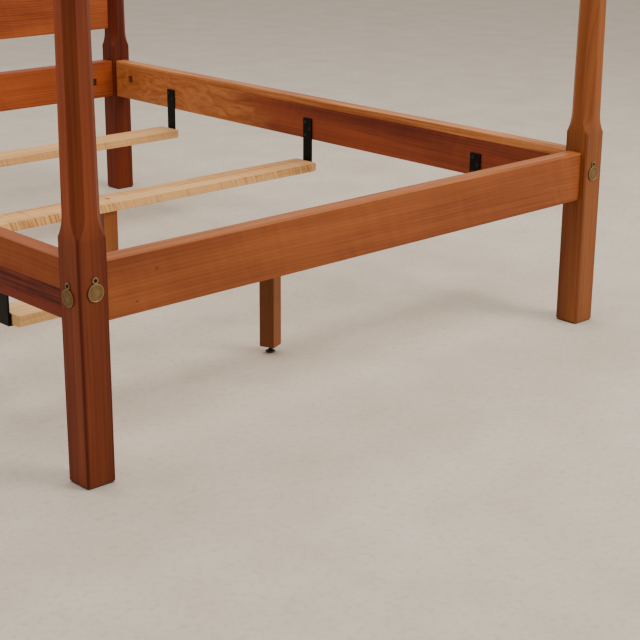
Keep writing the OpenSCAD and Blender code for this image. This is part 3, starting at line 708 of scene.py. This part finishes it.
def make_post(name, right, head):
    """A post with its counterbores, bolt holes, mortises and, at the head, the housing of the headboard."""
    sx, sy = (1 if right else -1), (1 if head else -1)
    centre = (sx * POST_X, sy * POST_Y)
    post = mesh_object("post_" + name, post_rings(centre))
    x_out, y_out = sx * HALF_W, sy * HALF_L
    x_mid, y_mid = x_out - sx * RAIL_MID, y_out - sy * RAIL_MID
    x_in, y_in = x_out - sx * POST_W, y_out - sy * POST_W
    low = RAIL_Z + (RAIL_H - TENON_H) / 2 - JOINT_GAP
    tenon_z = (low, low + TENON_H + 2 * JOINT_GAP)
    half = TENON_T / 2 + JOINT_GAP
    deep = TENON_L + JOINT_GAP

    def end_rod(start, end, r, steps=48):
        """A bar at the end rail's bolt, between two depths behind the post's outer face."""
        return rod((x_out - sx * start, y_mid, END_BOLT_Z), (x_out - sx * end, y_mid, END_BOLT_Z), r, steps)

    def side_rod(start, end, r, steps=48):
        """A bar at the side rail's bolt, between two depths behind the post's outer face."""
        return rod((x_mid, y_out - sy * start, SIDE_BOLT_Z), (x_mid, y_out - sy * end, SIDE_BOLT_Z), r, steps)

    def box_cut(xs, ys, zs):
        return block((min(xs), min(ys), min(zs)), (max(xs), max(ys), max(zs)))

    cuts = [end_rod(-CUT_PAST, COUNTERBORE_DEPTH, COUNTERBORE_R),
            side_rod(-CUT_PAST, COUNTERBORE_DEPTH, COUNTERBORE_R),
            end_rod(5 * MM, POST_W + CUT_PAST, BOLT_HOLE_R, 32),
            side_rod(5 * MM, POST_W + CUT_PAST, BOLT_HOLE_R, 32),
            box_cut((x_in + sx * deep, x_in - sx * CUT_PAST), (y_mid - half, y_mid + half), tenon_z),
            box_cut((x_mid - half, x_mid + half), (y_in + sy * deep, y_in - sy * CUT_PAST), tenon_z)]
    if head:
        seat = BOARD_SEAT + JOINT_GAP
        board_half = BOARD_T / 2 + JOINT_GAP
        cuts.append(box_cut((x_in + sx * seat, x_in - sx * CUT_PAST),
                            (centre[1] - board_half, centre[1] + board_half),
                            (BOARD_Z - JOINT_GAP, BOARD_Z + BOARD_END_H + JOINT_GAP)))
    cut(post, *cuts)
    # Painted light and shade on the post's faces, and the wood's lighter tone above the tongue
    paint_post_light_and_tone(post, *POST_PAINTED_LIGHT_AND_TONE[name])
    level(post)
    dress(post, posts_wood[name], "frame", "post_cherry", "post_" + name)


for post_name, right, head in (("foot_left", False, False), ("foot_right", True, False),
                               ("head_left", False, True), ("head_right", True, True)):
    make_post(post_name, right, head)


# Rails
def make_rail(name, material, along_y, side, long, bolt_z):
    """A rail: a rounded section carried along its length, with stub tenons, bolt holes and nut pockets.

    It is worked out along X with its outer face towards -Y, then turned and moved to its place.
    """
    section = round_box(RAIL_T, RAIL_H, RAIL_EDGE, 6)
    body = along(section, 0, [-long / 2, long / 2], (RAIL_T / 2, RAIL_Z + RAIL_H / 2))
    rail = mesh_object("rail_" + name, body)
    tenon_y = RAIL_T / 2 - TENON_T / 2
    tenon_z = RAIL_Z + (RAIL_H - TENON_H) / 2
    cuts, tenons = [], []
    for end in (-1, 1):
        pocket_x = end * (long / 2 - POCKET_IN - POCKET_W / 2)
        cuts.append(block((pocket_x - POCKET_W / 2, POCKET_FLOOR, bolt_z - POCKET_H / 2),
                          (pocket_x + POCKET_W / 2, RAIL_T + CUT_PAST, bolt_z + POCKET_H / 2)))
        cuts.append(rod((end * (long / 2 - POCKET_IN - 2 * MM), RAIL_T / 2, bolt_z),
                        (end * (long / 2 + CUT_PAST), RAIL_T / 2, bolt_z), BOLT_HOLE_R, 32))
        x = sorted((end * long / 2, end * (long / 2 + TENON_L)))
        tenons.append(block((x[0], tenon_y, tenon_z), (x[1], tenon_y + TENON_T, tenon_z + TENON_H)))
    cut(rail, *cuts)
    ends = mesh_object("tenons", *tenons)
    cut(ends, rod((-long, RAIL_T / 2, bolt_z), (long, RAIL_T / 2, bolt_z), BOLT_HOLE_R, 32))
    join(rail, ends)
    if along_y:
        place = Matrix.Translation((-HALF_W + RAIL_SETBACK, 0, 0)) @ Matrix.Rotation(-math.pi / 2, 4, "Z")
        flip = Matrix.Diagonal((-1, 1, 1, 1))
    else:
        place = Matrix.Translation((0, -HALF_L + RAIL_SETBACK, 0))
        flip = Matrix.Diagonal((1, -1, 1, 1))
    rail.data.transform(flip @ place if side > 0 else place)
    if side > 0:
        face_outwards(rail)
    ease(rail, 0.7 * MM)
    dress(rail, material, "frame", "rail_cherry", "rail_" + name)


make_rail("foot", rail_foot_wood, False, -1, CLEAR_W, END_BOLT_Z)
make_rail("head", rail_head_wood, False, 1, CLEAR_W, END_BOLT_Z)
make_rail("left", rail_left_wood, True, -1, CLEAR_L, SIDE_BOLT_Z)
make_rail("right", rail_right_wood, True, 1, CLEAR_L, SIDE_BOLT_Z)


# Headboard
def board_outline():
    """Outline of the headboard in X and Z: straight lower edge, level shoulders, an S curve, a low crown.

    The S curve and each half of the crown are half a wave of a cosine.
    """
    half = CLEAR_W / 2
    end_x = half + BOARD_SEAT
    curve_x = half - BOARD_SHOULDER_L
    crown_x = curve_x - BOARD_CURVE_L
    x = np.concatenate([np.linspace(end_x, curve_x, 4)[:-1], np.linspace(curve_x, crown_x, 25)[:-1],
                        np.linspace(crown_x, 0, 25)])
    s_curve = BOARD_CURVE_H * (1 + np.cos(np.pi * np.clip((x - crown_x) / BOARD_CURVE_L, 0, 1))) / 2
    crown = BOARD_CROWN_H * (1 + np.cos(np.pi * np.clip(x / crown_x, 0, 1))) / 2
    upper = np.stack([x, BOARD_Z + BOARD_END_H + s_curve + crown], -1)
    mirrored = (upper * [-1, 1])[::-1][1:]
    lower = np.stack([np.linspace(-end_x, end_x, 40), np.full(40, BOARD_Z)], -1)[1:-1]
    return np.concatenate([[[end_x, BOARD_Z]], upper, mirrored, [[-end_x, BOARD_Z]], lower])


def inset(outline):
    """How far each point of an outline moves, along its two sides' mean normal, for sides drawn in by 1."""
    before, after = np.roll(outline, 1, 0), np.roll(outline, -1, 0)
    a = outline - before
    b = after - outline
    na = np.stack([-a[:, 1], a[:, 0]], -1) / np.linalg.norm(a, axis=1)[:, None]
    nb = np.stack([-b[:, 1], b[:, 0]], -1) / np.linalg.norm(b, axis=1)[:, None]
    n = na + nb
    return n / (n * na).sum(1)[:, None]


def make_headboard():
    """The headboard: its outline carried through its thickness, drawn in at each face by a quarter round."""
    outline = board_outline()
    r = BOARD_EDGE
    t = np.radians(np.linspace(0, 90, 5))
    depth = BOARD_T / 2 - r * (1 - np.cos(t))
    draw = r * (1 - np.sin(t))
    depth = np.concatenate([-depth, depth[::-1]]) + POST_Y
    draw = np.concatenate([draw, draw[::-1]])
    shape = outline + inset(outline) * draw[:, None, None]
    rings = np.stack([shape[:, :, 0], depth[:, None] + 0 * shape[:, :, 0], shape[:, :, 1]], -1)
    board = mesh_object("headboard", rings)
    level(board)
    dress(board, headboard_wood, "frame", "headboard_cherry", "headboard")


make_headboard()


# Slats and centre legs
def upright(n, low, high, r, steps=48):
    """A round bar up the middle of slat n, to cut the holes of its bolt and of its leg."""
    return rod((0, SLAT_Y[n], low), (0, SLAT_Y[n], high), r, steps)


def make_slat(n):
    """A slat: a rounded section carried along X, drawn in at its ends, which rounds its corners in plan."""
    section = round_box(SLAT_W, SLAT_T, SLAT_EDGE, 4)
    r = 2 * SLAT_EDGE
    t = np.radians(np.linspace(0, 90, 6))
    end_x = SLAT_HALF - r * (1 - np.sin(t))
    end_in = r * (1 - np.cos(t))
    x = np.concatenate([-end_x[::-1], np.linspace(-0.7, 0.7, 9), end_x])
    draw = np.concatenate([end_in[::-1], np.zeros(9), end_in])
    rings = along(section, 0, x, (0, SLAT_BOTTOM + SLAT_T / 2))
    rings[:, :, 1] *= (1 - 2 * draw / SLAT_W)[:, None]
    rings[:, :, 1] += SLAT_Y[n]
    slat = mesh_object("slat_" + n, rings)
    head_z = SLAT_TOP - LEG_BOLT_SINK - LEG_BOLT_HEAD_H
    cut(slat, upright(n, head_z, SLAT_TOP + CUT_PAST, LEG_BOLT_HEAD_R + LEG_HEAD_GAP),
        upright(n, SLAT_BOTTOM - CUT_PAST, SLAT_TOP, LEG_BOLT_R + RUNNING_GAP, 32))
    ease(slat, 0.5 * MM)
    dress(slat, slat_wood[n], "frame", "slat_maple", "slat_" + n)


def make_leg(n):
    """A centre leg: a rounded square carried up from its eased foot, turned on its bolt and bored."""
    section = round_box(LEG_W, LEG_W, LEG_EDGE, 4)
    z = np.array([LEG_Z, LEG_Z + 0.5 * MM, LEG_Z + 1.5 * MM, 0.1, 0.2, LEG_TOP])
    place = Matrix.Translation((0, SLAT_Y[n], 0)) @ Matrix.Rotation(math.radians(LEG_TURN[n]), 4, "Z")
    leg = mesh_object("centre_leg_" + n, moved(along(section, 2, z), place))
    leg.data.vertices.foreach_set("co", leg_foot(leg, n))
    insert_hole = INSERT_L + SLIP_GAP
    cut(leg, upright(n, LEG_Z - CUT_PAST, LEG_Z + insert_hole, INSERT_R + SLIP_GAP),
        upright(n, LEG_Z, STUD_BORE_TOP, STUD_R + STUD_BORE_GAP, 32),
        upright(n, LEG_TOP - insert_hole, LEG_TOP + CUT_PAST, INSERT_R + SLIP_GAP),
        upright(n, LEG_TOP - LEG_BOLT_L - 4 * MM, LEG_TOP, LEG_BOLT_R + 0.5 * MM, 32))
    # Painted shade on the leg's two faces that look along the slat
    paint_leg_shade(leg, LEG_TURN[n])
    ease(leg, 0.6 * MM)
    dress(leg, leg_wood[n], "leg_" + n, "leg_cherry", "centre_leg_" + n)


def paint_leg_shade(leg, turn):
    """Writes the face attribute "shade": painted shade, lower on the two faces that look along the slat."""
    side = np.array([math.cos(math.radians(turn)), math.sin(math.radians(turn)), 0.0])
    across = np.abs(faces_of(leg, "normal") @ side)
    write_attribute(leg, "shade", "FACE", 1.0 - 0.42 * np.clip((across - 0.7) / 0.25, 0, 1))


def leg_foot(leg, n):
    """The leg's points, with its lowest ring drawn in by 1 mm as a small chamfer."""
    co = points_of(leg)
    low = np.clip(1 - (co[:, 2] - LEG_Z) / (1.5 * MM), 0, 1)[:, None]
    across = (co - [0, SLAT_Y[n], 0]) * [1, 1, 0]
    co -= across / np.maximum(np.linalg.norm(across, axis=1), 1e-9)[:, None] * low * MM
    return co.ravel()


for n in "abc":
    make_slat(n)
    make_leg(n)


# Hangers
def seat_rings(y0, y1):
    """The angle seat: an L section with a rounded root and eased arrises, carried along Y."""
    x0 = SIDE_RAIL_IN + HANGER_T
    z0 = SLAT_BOTTOM - SEAT_T
    z1 = SLAT_TOP - SEAT_LEG_DROP
    e, root = 0.8 * MM, 0.4 * MM
    outline = np.concatenate([
        arc(x0 + e, z0 + e, e, 180, 270, 3), arc(x0 + SEAT_L - e, z0 + e, e, 270, 360, 3),
        arc(x0 + SEAT_L - e, z0 + SEAT_T - e, e, 0, 90, 3),
        arc(x0 + SEAT_T + root, z0 + SEAT_T + root, root, 270, 180, 4),
        arc(x0 + SEAT_T - e, z1 - e, e, 0, 90, 3), arc(x0 + e, z1 - e, e, 90, 180, 3)])
    places = np.array([y0, y0 + 0.4 * MM, y1 - 0.4 * MM, y1])
    return along(outline, 1, places)


def bead(start, end, r, seed):
    """A weld bead: a bar whose radius ripples along its length, thin at both ends."""
    s = np.linspace(0, 1, 41)
    ripple = 1 + 0.10 * np.sin(s * 2 * np.pi * 11 + seed) + 0.05 * np.sin(s * 2 * np.pi * 23 + 2 * seed)
    radius = r * ripple * np.clip(np.minimum(s, 1 - s) * 18, 0.15, 1) ** 0.5
    line = np.array(start) + np.outer(s, np.array(end) - np.array(start))
    t = np.linspace(0, 2 * np.pi, 12, endpoint=False)
    circle = np.stack([np.cos(t), np.sin(t), 0 * t], -1)
    return line[:, None, :] + radius[:, None, None] * circle


def make_hanger(side_name, side, n):
    """A hanger: a flat bar with eased arrises, its angle seat, and a weld bead down each side of the seam."""
    y = SLAT_Y[n]
    z0 = SLAT_BOTTOM - SEAT_T
    x_mid = SIDE_RAIL_IN + HANGER_T / 2
    section = round_box(HANGER_T, HANGER_W, 1.0 * MM, 3)
    z = np.array([z0, z0 + 0.3 * MM, z0 + 1 * MM, HANGER_TOP - 1 * MM, HANGER_TOP - 0.3 * MM, HANGER_TOP])
    bar = along(section, 2, z, (x_mid, y))
    tips = np.array([1, 0.4, 0, 0, 0.4, 1]) * 0.8 * MM
    bar[:, :, 0] = x_mid + (bar[:, :, 0] - x_mid) * (1 - 2 * tips / HANGER_T)[:, None]
    bar[:, :, 1] = y + (bar[:, :, 1] - y) * (1 - 2 * tips / HANGER_W)[:, None]
    seam_x = SIDE_RAIL_IN + HANGER_T
    beads, holes = [], []
    for s in (-1, 1):
        seam_y = y + s * (HANGER_W / 2)
        beads.append(bead((seam_x, seam_y, z0 + 2 * MM), (seam_x, seam_y, SLAT_TOP - 5 * MM),
                          1.8 * MM, s + 2))
    for s, screw_z in HANGER_SCREWS:
        screw_y = y + s * HANGER_SCREW_SIDE
        holes.append(rod((SIDE_RAIL_IN - CUT_PAST, screw_y, screw_z),
                         (SIDE_RAIL_IN + 2 * CUT_PAST, screw_y, screw_z), HANGER_SCREW_R + SLIP_GAP, 24))
    hanger = mesh_object(f"hanger_{side_name}_{n}", bar)
    cut(hanger, *holes)
    seat = mesh_object("seat", seat_rings(y - HANGER_W / 2, y + HANGER_W / 2), *beads)
    join(hanger, seat)
    if side > 0:
        hanger.data.transform(Matrix.Diagonal((-1, 1, 1, 1)))
        face_outwards(hanger)
    level(hanger)
    dress(hanger, hanger_paint, "frame", "hanger_black", f"hanger_{side_name}_{n}")


for n in "abc":
    make_hanger("left", -1, n)
    make_hanger("right", 1, n)


# Fasteners
def cross_head(r, h, shank_r, long, recess=0.8):
    """A round-headed screw with a cross recess, along +Z from the top of its head at z = 0 down.

    The head's height is a flattened dome, less a cross whose arms fall away smoothly from its middle.
    """
    t = np.linspace(0, 2 * np.pi, 48, endpoint=False)
    rr = np.concatenate([np.linspace(0.02, 0.75, 14), [0.85, 0.93, 0.98, 1.0]])[:, None] * r
    dome = -h * 0.75 * (rr / r) ** 2.6
    x, y = rr * np.cos(t), rr * np.sin(t)

    def arm(across, ahead):
        """1 on one pair of the cross's arms and 0 beside and beyond them, with soft edges."""
        beside = 1 + np.exp((np.abs(across) - 0.16 * r) / (0.03 * r))
        beyond = 1 + np.exp((np.abs(ahead) - 0.55 * r) / (0.04 * r))
        return 1 / beside / beyond

    z = dome - recess * h * np.maximum(arm(y, x), arm(x, y))
    top = np.stack([x + 0 * z, y + 0 * z, z], -1)
    side = lathe([(r, -h), (shank_r, -h), (shank_r, -long + 1.5 * shank_r), (0.05 * shank_r, -long)], 48)
    return np.concatenate([top, side])


def make_cover_screws():
    """The screws in the covers' eyes, with domed heads."""
    screw = cross_head(COVER_SCREW_HEAD_R, COVER_SCREW_HEAD_H, COVER_SCREW_R, COVER_SCREW_L)
    top_z = COVER_GAP + EYE_T + COVER_HEAD_GAP + COVER_SCREW_HEAD_H
    lift = Matrix.Translation((0, COVER_DROP, top_z))
    obj = mesh_object("cover_screws", *[moved(screw, place @ lift) for _, place in cover_places()])
    level(obj)
    dress(obj, dark_metal, "frame", "screw_black", "cover_screws")


def cover_places():
    """Name and matrix of each cover's place: its outer side is +Z, its top +Y, its middle the origin."""
    places = []
    for sx, x_name in ((-1, "left"), (1, "right")):
        for sy, y_name in ((-1, "foot"), (1, "head")):
            end = Matrix(((0, 0, sx, sx * HALF_W), (sx, 0, 0, sy * (HALF_L - RAIL_MID)),
                          (0, 1, 0, END_BOLT_Z), (0, 0, 0, 1)))
            side = Matrix(((-sy, 0, 0, sx * (HALF_W - RAIL_MID)), (0, 0, sy, sy * HALF_L),
                           (0, 1, 0, SIDE_BOLT_Z), (0, 0, 0, 1)))
            places += [(f"{y_name}_{x_name}_end", end), (f"{y_name}_{x_name}_side", side)]
    return places


def rub_cover(cover, place):
    """Writes the point attribute "rubbed" by distance from the cover's middle.

    The pale rim adds a bell curve, and each of two dark grooves takes one off.
    """
    local = moved(points_of(cover), place.inverted()) / MM
    r = np.linalg.norm(local[:, :2], axis=1)
    rubbed = 0.4 + 0.6 * np.exp(-((r - 17.4) / 1.2) ** 2)
    rubbed -= 0.4 * np.exp(-((r - 11.0) / 0.7) ** 2) + 0.4 * np.exp(-((r - 15.8) / 0.6) ** 2)
    write_attribute(cover, "rubbed", "POINT", np.where(r > COVER_R / MM + 0.01, 0.75, rubbed))


def make_cover(name, place):
    """A cover: a dished disc with a rolled rim and a turned line, and its eye, a flat countersunk ring."""
    g, r = COVER_GAP, COVER_R
    top = g + COVER_T
    eye_top = g + EYE_T
    hole = COVER_SCREW_R + RUNNING_GAP
    disc = lathe([
        (0.01 * MM, g + 0.9 * MM), (r - 2.6 * MM, g + 0.9 * MM), (r - 2.2 * MM, g), (r - 0.7 * MM, g),
        (r - 0.2 * MM, g + 0.3 * MM), (r, g + 0.8 * MM), (r, top - 1.0 * MM), (r - 0.3 * MM, top - 0.35 * MM),
        (r - 0.9 * MM, top), (r - 1.8 * MM, top - 0.05 * MM), (r - 2.5 * MM, top - 0.45 * MM),
        (r - 2.9 * MM, top - 0.8 * MM), (r - 3.4 * MM, top - 0.62 * MM), (r * 0.62, top - 0.42 * MM),
        (r * 0.58, top - 0.58 * MM), (r * 0.54, top - 0.36 * MM), (r * 0.3, top - 0.2 * MM),
        (0.01 * MM, top - 0.12 * MM)], 96)
    ring = lathe([
        (hole, g + 0.2 * MM), (EYE_R - 0.4 * MM, g), (EYE_R, g + 0.4 * MM), (EYE_R, eye_top - 0.6 * MM),
        (EYE_R - 0.6 * MM, eye_top), (hole + 2.2 * MM, eye_top), (hole + 1.8 * MM, eye_top - 0.2 * MM),
        (hole, eye_top - 0.9 * MM)], 48) + [0, COVER_DROP, 0]
    cover = mesh_object("cover_" + name, moved(disc, place))
    join(cover, mesh_object("eye", moved(ring, place), closed=True))
    rub_cover(cover, place)
    level(cover)
    dress(cover, cover_metal, "cover_" + name, "cover_brass", "cover_" + name)


for cover_name, cover_place in cover_places():
    make_cover(cover_name, cover_place)
make_cover_screws()


def make_hanger_screws():
    """The three screws of each hanger, round heads against the bar's face."""
    screw = cross_head(HANGER_SCREW_HEAD_R, HANGER_SCREW_HEAD_H, HANGER_SCREW_R, HANGER_SCREW_L)
    screws = []
    for side in (-1, 1):
        x = -side * (SIDE_RAIL_IN + HANGER_T + HANGER_SCREW_HEAD_H)
        for n in "abc":
            for s, z in HANGER_SCREWS:
                y = SLAT_Y[n] + s * HANGER_SCREW_SIDE
                place = Matrix(((0, 0, -side, x), (side, 0, 0, y), (0, -1, 0, z), (0, 0, 0, 1)))
                screws.append(moved(screw, place))
    obj = mesh_object("hanger_screws", *screws)
    level(obj)
    dress(obj, hanger_screw_metal, "frame", "screw_black", "hanger_screws")


make_hanger_screws()


def make_leg_bolts():
    """The bolt of each centre leg: a domed head with a cross recess, sunk in its slat."""
    top = SLAT_TOP - LEG_BOLT_SINK
    bolt = cross_head(LEG_BOLT_HEAD_R, LEG_BOLT_HEAD_H, LEG_BOLT_R, top - LEG_TOP + LEG_BOLT_L, 0.45)
    obj = mesh_object("leg_bolts", *[moved(bolt, Matrix.Translation((0, SLAT_Y[n], top))) for n in "abc"])
    level(obj)
    dress(obj, leg_bolt_metal, "frame", "leg_bolt_steel", "leg_bolts")


make_leg_bolts()


def stud_rings(z0, z1, r):
    """A threaded stud: its radius is a triangle wave of the height over the pitch, less the turn's share."""
    z = np.arange(z0, z1, THREAD_PITCH / 8)
    t = np.linspace(0, 2 * np.pi, 24, endpoint=False)
    phase = (z[:, None] / THREAD_PITCH - t[None, :] / (2 * np.pi)) % 1
    fade = np.clip(np.minimum(z - z0, z1 - z) / THREAD_PITCH, 0, 1)[:, None]
    radius = r - THREAD_DEPTH * np.abs(2 * phase - 1) * fade
    return np.stack([radius * np.cos(t), radius * np.sin(t), z[:, None] + 0 * t], -1)


def make_leveller(n):
    """A leveller: a turned pad, a chamfered hex and a threaded stud."""
    pad = lathe([
        (0.01 * MM, 0), (PAD_R - 6.2 * MM, 0), (PAD_R - 5.4 * MM, 0.3 * MM), (PAD_R - 0.4 * MM, 3.0 * MM),
        (PAD_R, 3.5 * MM), (PAD_R, 4.1 * MM), (PAD_R - 0.4 * MM, 4.6 * MM), (PAD_R - 1.6 * MM, 4.9 * MM),
        (PAD_R - 3 * MM, PAD_T), (0.01 * MM, PAD_T)], 64)
    t = np.radians(np.arange(0, 360, 60))
    corner = PAD_HEX_W / 2 / math.cos(math.pi / 6)
    hex_z = PAD_T + np.array([0, 0.5 * MM, PAD_HEX_H - 0.5 * MM, PAD_HEX_H])
    hex_r = corner - np.array([0.4, 0, 0, 0.4]) * MM
    hexagon = np.stack([hex_r[:, None] * np.cos(t), hex_r[:, None] * np.sin(t), hex_z[:, None] + 0 * t], -1)
    shift = np.array([0, SLAT_Y[n], 0])
    stud = stud_rings(PAD_T, STUD_TOP, STUD_R)
    foot = mesh_object("leveller_" + n, pad + shift, hexagon + shift, stud + shift)
    level(foot)
    dress(foot, leveller_nylon, "foot_" + n, "leveller_black", "leveller_" + n)
    foot.data.materials.append(dark_metal)
    above_pad = faces_of(foot, "center")[:, 2] > PAD_T + 0.2 * MM
    foot.data.polygons.foreach_set("material_index", above_pad.astype(np.int32))


for n in "abc":
    make_leveller(n)

# CAD nodes whose own shape stays
kept = {"bed_bolts": bolt_metal, "bed_bolt_washers": bolt_metal, "bed_bolt_nuts": bolt_metal,
        "slat_screws": dark_metal, "post_glides": glide_nylon, "leg_inserts_a": insert_metal,
        "leg_inserts_b": insert_metal, "leg_inserts_c": insert_metal}
for node_name, material in kept.items():
    node_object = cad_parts[node_name]
    node_object.data.materials.clear()
    node_object.data.materials.append(material)


# Floor, light and camera
def floor():
    """A pale, faintly clouded floor."""
    f = Finish("pale_floor")
    cloud = f.noise(f.position, 5.0, 5.0, 0.6)
    fine = f.noise(f.position, 60.0, 4.0, 0.6)
    colour = f.mix(f.range(cloud, 0.3, 0.7), tone(212, 198, 178), tone(200, 184, 162))
    colour = f.mix(f.range(fine, 0.50, 0.75, 0.0, 0.5), colour, tone(176, 158, 136))
    f.done(colour, 0.75, f.bump(fine, 0.1, 0.001))
    half = 30.0
    corners = [(-half, -half, 0), (half, -half, 0), (half, half, 0), (-half, half, 0)]
    obj = new_object("floor", corners, [(0, 1, 2, 3)])
    obj.data.materials.append(f.material)


def area_light(name, place, target, size, power, colour=(1, 1, 1)):
    """A square soft light at a place, turned towards a target."""
    light = bpy.data.lights.new(name, "AREA")
    light.size = size
    light.energy = power
    light.color = colour
    obj = bpy.data.objects.new(name, light)
    direction = Vector(target) - Vector(place)
    obj.matrix_world = Matrix.Translation(place) @ direction.to_track_quat("-Z", "Y").to_matrix().to_4x4()
    bpy.context.scene.collection.objects.link(obj)


floor()
world = bpy.data.worlds.new("studio")
world.use_nodes = True
world.node_tree.nodes["Background"].inputs["Color"].default_value = (1.0, 0.98, 0.955, 1.0)
world.node_tree.nodes["Background"].inputs["Strength"].default_value = 0.66
bpy.context.scene.world = world
area_light("key", (2.4, -5.2, 3.5), (0, 0, 0.4), 2.8, 250, (1.0, 0.97, 0.93))
area_light("top", (0.0, 0.5, 4.5), (0, 0, 0), 4.0, 150)

# The camera stands where the photographer's did, as solved from the photograph's straight edges
CAMERA_PLACE = Vector((-2.40714, -3.45092, 1.29979))
CAMERA_YAW = -0.75354
CAMERA_PITCH = 0.3204
CAMERA_ROLL = 0.00678
CAMERA_FOCUS = 1509.139 / 640


def camera():
    """Turns the camera by yaw about Z from +Y, then down by pitch, then by roll about its own axis."""
    cy, sy = math.cos(CAMERA_YAW), math.sin(CAMERA_YAW)
    cp, sp = math.cos(CAMERA_PITCH), math.sin(CAMERA_PITCH)
    ahead = Vector((-sy * cp, cy * cp, -sp))
    right = ahead.cross(Vector((0, 0, 1))).normalized()
    up = right.cross(ahead)
    c, s = math.cos(CAMERA_ROLL), math.sin(CAMERA_ROLL)
    right, up = right * c + up * s, up * c - right * s
    lens = bpy.data.cameras.new("camera")
    lens.sensor_width = 36
    lens.sensor_fit = "HORIZONTAL"
    lens.lens = 36 * CAMERA_FOCUS
    lens.clip_end = 100
    obj = bpy.data.objects.new("camera", lens)
    turn = Matrix((right, up, -ahead)).transposed()
    obj.matrix_world = Matrix.Translation(CAMERA_PLACE) @ turn.to_4x4()
    bpy.context.scene.collection.objects.link(obj)
    bpy.context.scene.camera = obj


camera()
